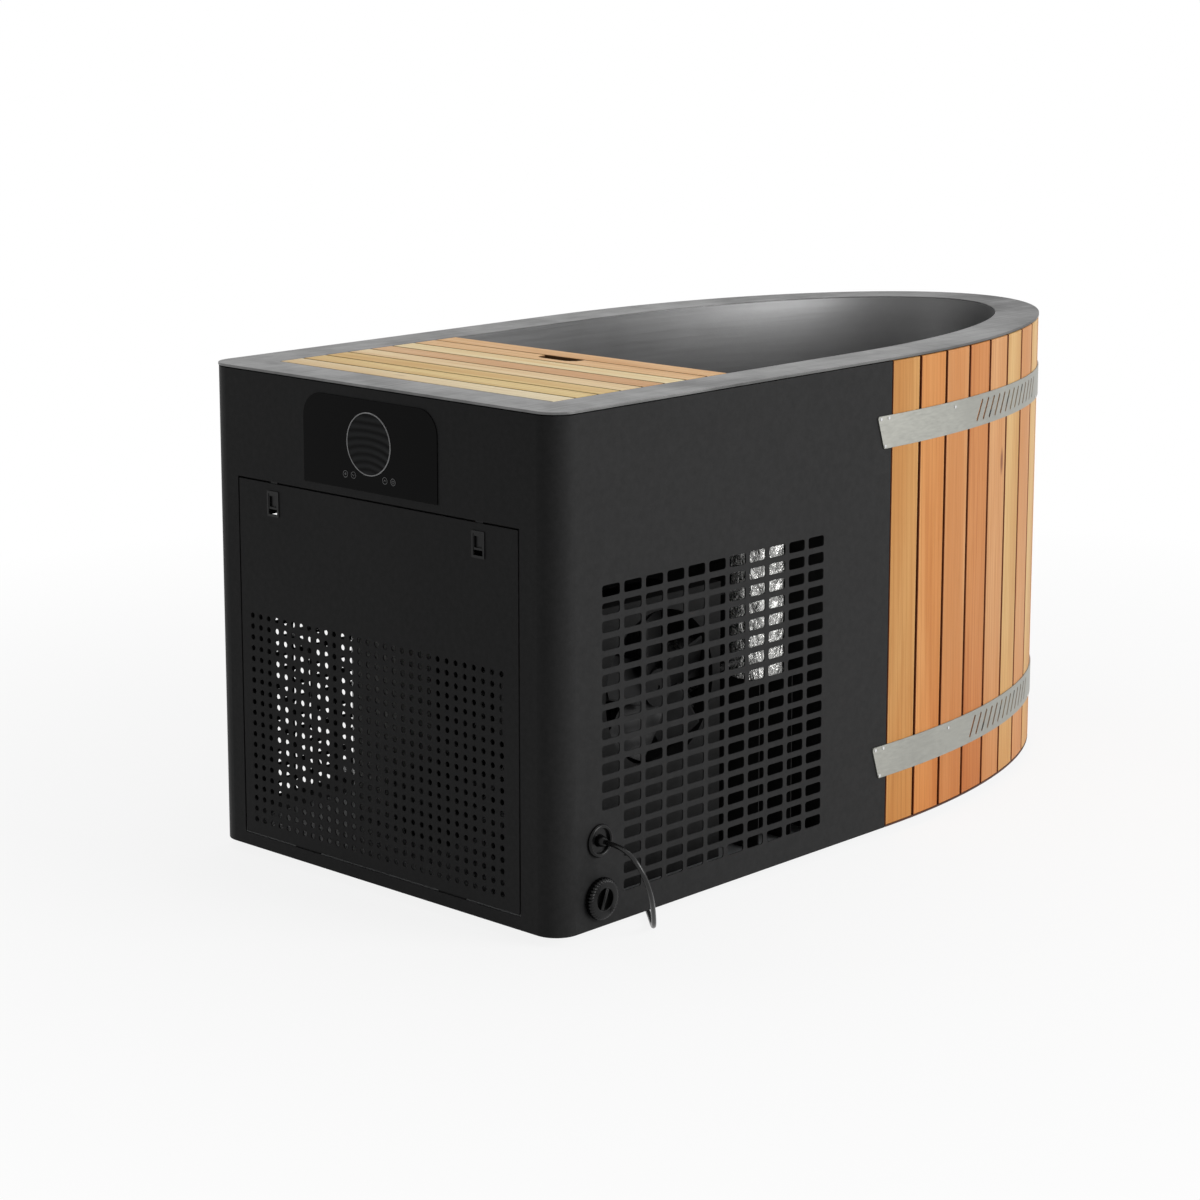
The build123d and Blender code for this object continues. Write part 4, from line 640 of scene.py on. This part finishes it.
def foil_wrap(low, high):
    middle = (Vector(low) + Vector(high)) / 2
    radius = (high[0] - low[0]) / 2
    wrap = bmesh.new()
    bmesh.ops.create_cone(wrap, cap_ends=True, cap_tris=False, segments=WRAP_SIDES, radius1=radius,
                          radius2=radius, depth=high[2] - low[2])
    upright = [edge for edge in wrap.edges if abs(edge.verts[0].co.z - edge.verts[1].co.z) > 0.01]
    bmesh.ops.subdivide_edges(wrap, edges=upright, cuts=WRAP_RINGS, use_grid_fill=True)
    caps = [face for face in wrap.faces if abs(face.normal.z) > 0.9]
    rounded = bmesh.ops.inset_region(wrap, faces=caps, thickness=radius * 0.3, depth=0.006)
    for vert in wrap.verts:
        crease = noise.noise(vert.co * 46) * 0.004 + abs(noise.noise(vert.co * 95)) * 0.003
        sideways = Vector((vert.co.x, vert.co.y, 0))
        if sideways.length > radius * 0.9:
            vert.co -= sideways.normalized() * (WRAP_SLACK + abs(crease))
    bmesh.ops.translate(wrap, vec=middle, verts=wrap.verts)
    bmesh.ops.recalc_face_normals(wrap, faces=wrap.faces)
    print("foil wrap faces:", len(wrap.faces), "after", len(rounded["faces"]), "inset faces")
    return wrap


foil_object = link_object("foil_tank", foil_wrap(*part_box("heat_exchanger")), [foil], "tub")
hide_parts("heat_exchanger")

# %% [markdown]
# ## Finned condenser
# A condenser is a stack of very thin fins between two end plates. Every fin is a thin block, a loop sets
# them side by side along the tub, and straight tubes run through them all.

# %% Condenser fins
FIN_COUNT = 74
FIN_SHEET = 0.0006
PLATE_SHEET = 0.003
CORE_HEIGHT = 0.274
FIN_INSET = 0.002
FIN_TOP_GAP = 0.004
TUBE_ROWS = 8
TUBE_FIRST = 0.017
TUBE_PITCH = 0.033
TUBE_RADIUS = 0.005


def condenser():
    low, high = (Vector(corner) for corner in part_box("condenser_coil"))
    block = bmesh.new()

    def add_slab(x0, x1, y0, y1, z0, z1):
        made = bmesh.ops.create_cube(block, size=1)["verts"]
        bmesh.ops.scale(block, vec=(x1 - x0, y1 - y0, z1 - z0), verts=made)
        bmesh.ops.translate(block, vec=((x0 + x1) / 2, (y0 + y1) / 2, (z0 + z1) / 2), verts=made)

    add_slab(low.x, low.x + PLATE_SHEET, low.y, high.y, low.z, high.z)
    add_slab(high.x - PLATE_SHEET, high.x, low.y, high.y, low.z, high.z)
    core_low = high.z - CORE_HEIGHT
    pitch = (high.x - low.x - 2 * PLATE_SHEET) / FIN_COUNT
    for index in range(FIN_COUNT):
        x = low.x + PLATE_SHEET + (index + 0.5) * pitch
        add_slab(x - FIN_SHEET / 2, x + FIN_SHEET / 2, low.y + FIN_INSET, high.y - FIN_INSET, core_low,
                 high.z - FIN_TOP_GAP)
    for row in range(TUBE_ROWS):
        z = core_low + TUBE_FIRST + row * TUBE_PITCH
        tube = bmesh.ops.create_cone(block, cap_ends=True, segments=12, radius1=TUBE_RADIUS,
                                     radius2=TUBE_RADIUS, depth=high.x - low.x - FIN_INSET)["verts"]
        bmesh.ops.rotate(block, cent=(0, 0, 0), matrix=Matrix.Rotation(pi / 2, 3, "Y"), verts=tube)
        bmesh.ops.translate(block, vec=((low.x + high.x) / 2, (low.y + high.y) / 2, z), verts=tube)
    bmesh.ops.recalc_face_normals(block, faces=block.faces)
    return block


condenser_object = link_object("finned_block", condenser(), [fin_shade_metal], "tub")
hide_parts("condenser_coil")
print("condenser faces:", len(condenser_object.data.polygons))

# %% [markdown]
# ## Touch icons
# Each touch icon is a thin printed ring with a tiny plain sign in it: a bar in a broken ring for power, two
# arrowheads for up and down, and a dot for light. The rings are spun from a short section.

# %% Icons
ICON_RING = 0.0056
ICON_LINE = 0.0007
ICON_OFFSETS = (-0.0545, -0.036, 0.036, 0.0545)


def icon_mesh():
    low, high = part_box("touch_icons")
    x = low[0] - 0.0001
    z = (low[2] + high[2]) / 2
    middle_y = (low[1] + high[1]) / 2
    icons = bmesh.new()

    def add_ring(y, radius, line, sweep, start):
        centre = Vector((x, y, z))
        way = Vector((0, cos(start), sin(start)))
        inner = icons.verts.new(centre + way * (radius - line))
        outer = icons.verts.new(centre + way * radius)
        edge = icons.edges.new((inner, outer))
        bmesh.ops.spin(icons, geom=[inner, outer, edge], cent=centre, axis=(1, 0, 0), angle=sweep, steps=32,
                       use_merge=sweep > 6.2, dvec=(0, 0, 0))

    def add_bar(y, dz, length, width, turn):
        made = bmesh.ops.create_grid(icons, x_segments=1, y_segments=1, size=0.5)["verts"]
        bmesh.ops.scale(icons, vec=(length, width, 1), verts=made)
        bmesh.ops.rotate(icons, cent=(0, 0, 0), matrix=Matrix.Rotation(turn, 3, "Z"), verts=made)
        to_face = Matrix(((0, 0, 1), (1, 0, 0), (0, 1, 0)))
        bmesh.ops.rotate(icons, cent=(0, 0, 0), matrix=to_face, verts=made)
        bmesh.ops.translate(icons, vec=(x, y, z + dz), verts=made)

    for offset in ICON_OFFSETS:
        add_ring(middle_y + offset, ICON_RING, ICON_LINE, 2 * pi, 0)
    add_ring(middle_y + ICON_OFFSETS[0], 0.0028, 0.0006, 1.6 * pi, 0.7 * pi)
    add_bar(middle_y + ICON_OFFSETS[0], 0.0018, 0.0006, 0.003, 0)
    for offset, way in ((ICON_OFFSETS[1], 1), (ICON_OFFSETS[2], -1)):
        for side in (-1, 1):
            add_bar(middle_y + offset + side * 0.0012, 0, 0.0036, 0.0007, -side * way * radians(48))
    add_ring(middle_y + ICON_OFFSETS[3], 0.0018, 0.0008, 2 * pi, 0)
    return icons


icon_object = link_object("icon_rings", icon_mesh(), [icon_grey], "tub")
dress(nodes["touch_icons"], panel_gloss)
print("icon faces:", len(icon_object.data.polygons))

# %% [markdown]
# ## Panel, knob and grommet
# Three small black pieces catch the light on rounded edges, so they are made again with softer forms. The
# panel is a flat rectangle whose two top corners are rounded by a vertex bevel, then given its thickness.

# %% Panel sheet
PANEL_CORNER = 0.040


def finish_solid(mesh, crease):
    """Normals outward, smooth faces, and sharp edges where the surface turns by more than crease degrees."""
    bmesh.ops.recalc_face_normals(mesh, faces=mesh.faces[:])
    for face in mesh.faces:
        face.smooth = True
    for edge in mesh.edges:
        edge.smooth = len(edge.link_faces) == 2 and edge.calc_face_angle(0) < radians(crease)
    return mesh


def panel_sheet():
    low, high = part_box("control_panel")
    sheet = bmesh.new()
    corners = [sheet.verts.new((low[0], y, z)) for y, z in
               ((low[1], low[2]), (high[1], low[2]), (high[1], high[2]), (low[1], high[2]))]
    sheet.faces.new(corners)
    bmesh.ops.bevel(sheet, geom=corners[2:], offset=PANEL_CORNER, segments=14, profile=0.5, affect="VERTICES",
                    material=-1)
    made = bmesh.ops.extrude_face_region(sheet, geom=sheet.faces[:], use_keep_orig=True)["geom"]
    bmesh.ops.translate(sheet, vec=(high[0] - low[0], 0, 0),
                        verts=[item for item in made if isinstance(item, bmesh.types.BMVert)])
    return finish_solid(sheet, 40)


panel_object = link_object("panel_sheet", panel_sheet(), [panel_gloss], "tub")
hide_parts("control_panel")
print("panel faces:", len(panel_object.data.polygons))

# %% [markdown]
# The drain knob and the cable grommet are turned shapes. A turned shape is a stack of rings about an axis
# that points out of the tub's side. On the knob the outer rings carry a row of beads all round: the radius
# follows the size of a sine, which has round tops and sharp valleys.

# %% Knob and grommet
FACE_Y = -0.395
BEADS = 36
BEAD_DEPTH = 0.0021
STEPS_PER_BEAD = 8
KNOB_THICKNESS = 0.012
SPIGOT_RADIUS = 0.012
BAR_SIZE = (0.0064, 0.0074, 0.0344)
BAR_EASE = 0.0012
BAR_LEAN = radians(22)
BAR_SINK = 0.0043
BARREL_RADIUS = 0.0208


def turned(mesh, centre, rings):
    """Joins rings, each a radius, a distance out along -Y and a share of the bead depth, into a solid."""
    loops = []
    steps = BEADS * STEPS_PER_BEAD
    for radius, out, beaded in rings:
        loop = []
        for step in range(steps):
            turn = 2 * pi * step / steps
            reach = radius - beaded * BEAD_DEPTH * (1 - abs(sin(turn * BEADS / 2)))
            loop.append(mesh.verts.new(centre + Vector((reach * cos(turn), -out, reach * sin(turn)))))
        loops.append(loop)
    for one, two in zip(loops, loops[1:]):
        for step in range(steps):
            after = (step + 1) % steps
            mesh.faces.new((one[step], one[after], two[after], two[step]))
    mesh.faces.new(loops[0])
    mesh.faces.new(loops[-1])


def knob_mesh():
    low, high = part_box("drain_knob")
    centre = Vector(((low[0] + high[0]) / 2, low[1], (low[2] + high[2]) / 2))
    radius = (high[0] - low[0]) / 2
    knob = bmesh.new()
    turned(knob, centre, [
        (SPIGOT_RADIUS, low[1] - high[1], 0), (SPIGOT_RADIUS, -KNOB_THICKNESS, 0),
        (radius - 0.0012, -KNOB_THICKNESS, 0.8), (radius, -0.0108, 1), (radius, -0.0046, 1),
        (radius - 0.0008, -0.0026, 1), (radius - 0.0024, -0.0011, 1), (radius - 0.0044, -0.0003, 0.9),
        (radius - 0.0068, 0, 0), (0.0185, 0, 0), (0.0176, -0.0007, 0), (0.0173, -0.0080, 0)])
    bar = bmesh.ops.create_cube(knob, size=1)["verts"]
    bmesh.ops.scale(knob, vec=BAR_SIZE, verts=bar)
    front = [edge for edge in knob.edges if all(vert in bar and vert.co.y < 0 for vert in edge.verts)]
    rounded = bmesh.ops.bevel(knob, geom=front, offset=BAR_EASE, segments=3, profile=0.5, affect="EDGES",
                              material=-1)["verts"]
    bar = [vert for vert in {*bar, *rounded} if vert.is_valid]
    bmesh.ops.rotate(knob, cent=(0, 0, 0), matrix=Matrix.Rotation(BAR_LEAN, 3, "Y"), verts=bar)
    bmesh.ops.translate(knob, vec=centre + Vector((0, BAR_SINK, 0)), verts=bar)
    return finish_solid(knob, 32)


def grommet_mesh():
    low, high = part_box("cable_grommet")
    tip_out, back_out = FACE_Y - low[1], FACE_Y - high[1]
    centre = Vector(((low[0] + high[0]) / 2, FACE_Y, (low[2] + high[2]) / 2))
    radius = (high[0] - low[0]) / 2
    lip = [(radius, 0), (radius, 0.0016), (radius - 0.0008, 0.0034), (radius - 0.0024, 0.0047),
           (radius - 0.0042, 0.0050), (radius - 0.0056, 0.0043), (radius - 0.0064, 0.0026),
           (radius - 0.0068, -0.0008)]
    relief = [(0.0102, -0.0010), (0.0094, 0.0012), (0.0082, 0.0070), (0.0064, tip_out - 0.0010),
              (0.0056, tip_out)]
    barrel = [(BARREL_RADIUS, back_out), (BARREL_RADIUS, 0)]
    grommet = bmesh.new()
    turned(grommet, centre, [(size, out, 0) for size, out in barrel + lip + relief])
    return finish_solid(grommet, 50)


for name, mesh, node, body, slot in (("knob_beaded", knob_mesh(), "drain_knob", "knob", "black_plastic"),
                                     ("grommet_lip", grommet_mesh(), "cable_grommet", "tub", "black_rubber")):
    made = link_object(name, mesh, [knob_black], body)
    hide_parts(node)
    print(name, "faces:", len(made.data.polygons))

# %% [markdown]
# ## Floor, light and camera
# The floor is a wide pale sheet. For rays from the camera, a share of plain white is mixed in, so that the
# floor and the world meet without an edge while the tub's shadow still shows. Glossy rays get that
# white too, so the steel reflects the same room that the camera sees.

# %% Floor and world
def seen_by_camera(mat_or_world):
    """1 for camera, glossy and transmission rays, 0 for the rest."""
    path = add_node(mat_or_world, "ShaderNodeLightPath")
    mirror = add_node(mat_or_world, "ShaderNodeMath",
                      {0: path.outputs["Is Glossy Ray"], 1: path.outputs["Is Transmission Ray"]},
                      operation="MAXIMUM").outputs[0]
    return add_node(mat_or_world, "ShaderNodeMath", {0: path.outputs["Is Camera Ray"], 1: mirror},
                    operation="MAXIMUM").outputs[0]


floor_mat, floor_shader = new_material("floor_pale", (0.86, 0.86, 0.86), 0.8, specular=0.1)
white = add_node(floor_mat, "ShaderNodeEmission", {"Color": (1, 1, 1, 1), "Strength": 1.0})
from_tub = add_node(floor_mat, "ShaderNodeVectorMath",
                    {0: add_node(floor_mat, "ShaderNodeTexCoord").outputs["Object"]},
                    operation="LENGTH").outputs["Value"]
share = add_node(floor_mat, "ShaderNodeMath",
                 {0: seen_by_camera(floor_mat), 1: remap(floor_mat, from_tub, 0.9, 2.6, 0.87, 1.0)},
                 operation="MULTIPLY")
mixed = add_node(floor_mat, "ShaderNodeMixShader",
                 {0: share.outputs[0], 1: floor_shader.outputs["BSDF"], 2: white.outputs["Emission"]})
floor_output = floor_mat.node_tree.nodes["Material Output"]
floor_mat.node_tree.links.new(mixed.outputs["Shader"], floor_output.inputs["Surface"])

FLOOR_REACH = 40.0
floor_mesh = bmesh.new()
bmesh.ops.create_grid(floor_mesh, x_segments=1, y_segments=1, size=FLOOR_REACH)
floor_data = bpy.data.meshes.new("floor")
floor_mesh.to_mesh(floor_data)
floor_mesh.free()
floor_data.materials.append(floor_mat)
floor = bpy.data.objects.new("floor", floor_data)
bpy.context.collection.objects.link(floor)

world = bpy.data.worlds.new("studio")
world.use_nodes = True
bpy.context.scene.world = world
sky = world.node_tree.nodes["Background"]
sky.inputs["Color"].default_value = (1, 1, 1, 1)
SKY_LIGHT = 0.125
strength = add_node(world, "ShaderNodeMapRange", {"Value": seen_by_camera(world), "To Min": SKY_LIGHT,
                                                  "To Max": 1.0}).outputs["Result"]
world.node_tree.links.new(strength, sky.inputs["Strength"])
print("floor and world made")

# %% [markdown]
# The photograph is lit by one large soft light from the right front, which brightens the long side and
# the boards, and by a weaker one from above. The end with the display faces away from both.

# %% Lamps
def soft_lamp(name, place, target, size, power):
    data = bpy.data.lights.new(name, "AREA")
    data.shape = "RECTANGLE"
    data.size, data.size_y = size
    data.energy = power
    lamp = bpy.data.objects.new(name, data)
    lamp.location = place
    lamp.rotation_euler = (Vector(target) - Vector(place)).to_track_quat("-Z", "Y").to_euler()
    bpy.context.collection.objects.link(lamp)
    return lamp


soft_lamp("key_right", (1.2, -4.3, 2.0), (0.1, -0.3, 0.4), (2.6, 2.2), 160)
soft_lamp("top", (0.2, 0.3, 3.4), (0.1, 0, 0.6), (3.0, 2.0), 38)
print("two lamps")

# %% [markdown]
# The camera's place and lens come from the photograph itself: its edges fix where the camera
# stood. The upright edges stay nearly upright in the picture, so the view is shifted a little.

# %% Camera
CAMERA_PLACE = (-3.881, -3.371, 1.515)
CAMERA_HEADING = 0.7531
CAMERA_DOWN = 0.1829
camera_data = bpy.data.cameras.new("camera")
camera_data.sensor_width = 36
camera_data.lens = 89.52
camera_data.shift_y = -0.1
camera = bpy.data.objects.new("camera", camera_data)
bpy.context.collection.objects.link(camera)
camera.matrix_world = (Matrix.Translation(CAMERA_PLACE) @ Matrix.Rotation(CAMERA_HEADING - pi / 2, 4, "Z")
                       @ Matrix.Rotation(pi / 2 - CAMERA_DOWN, 4, "X"))
bpy.context.scene.camera = camera
bpy.context.scene.view_settings.view_transform = "Standard"
print("camera with a", camera_data.lens, "mm lens")
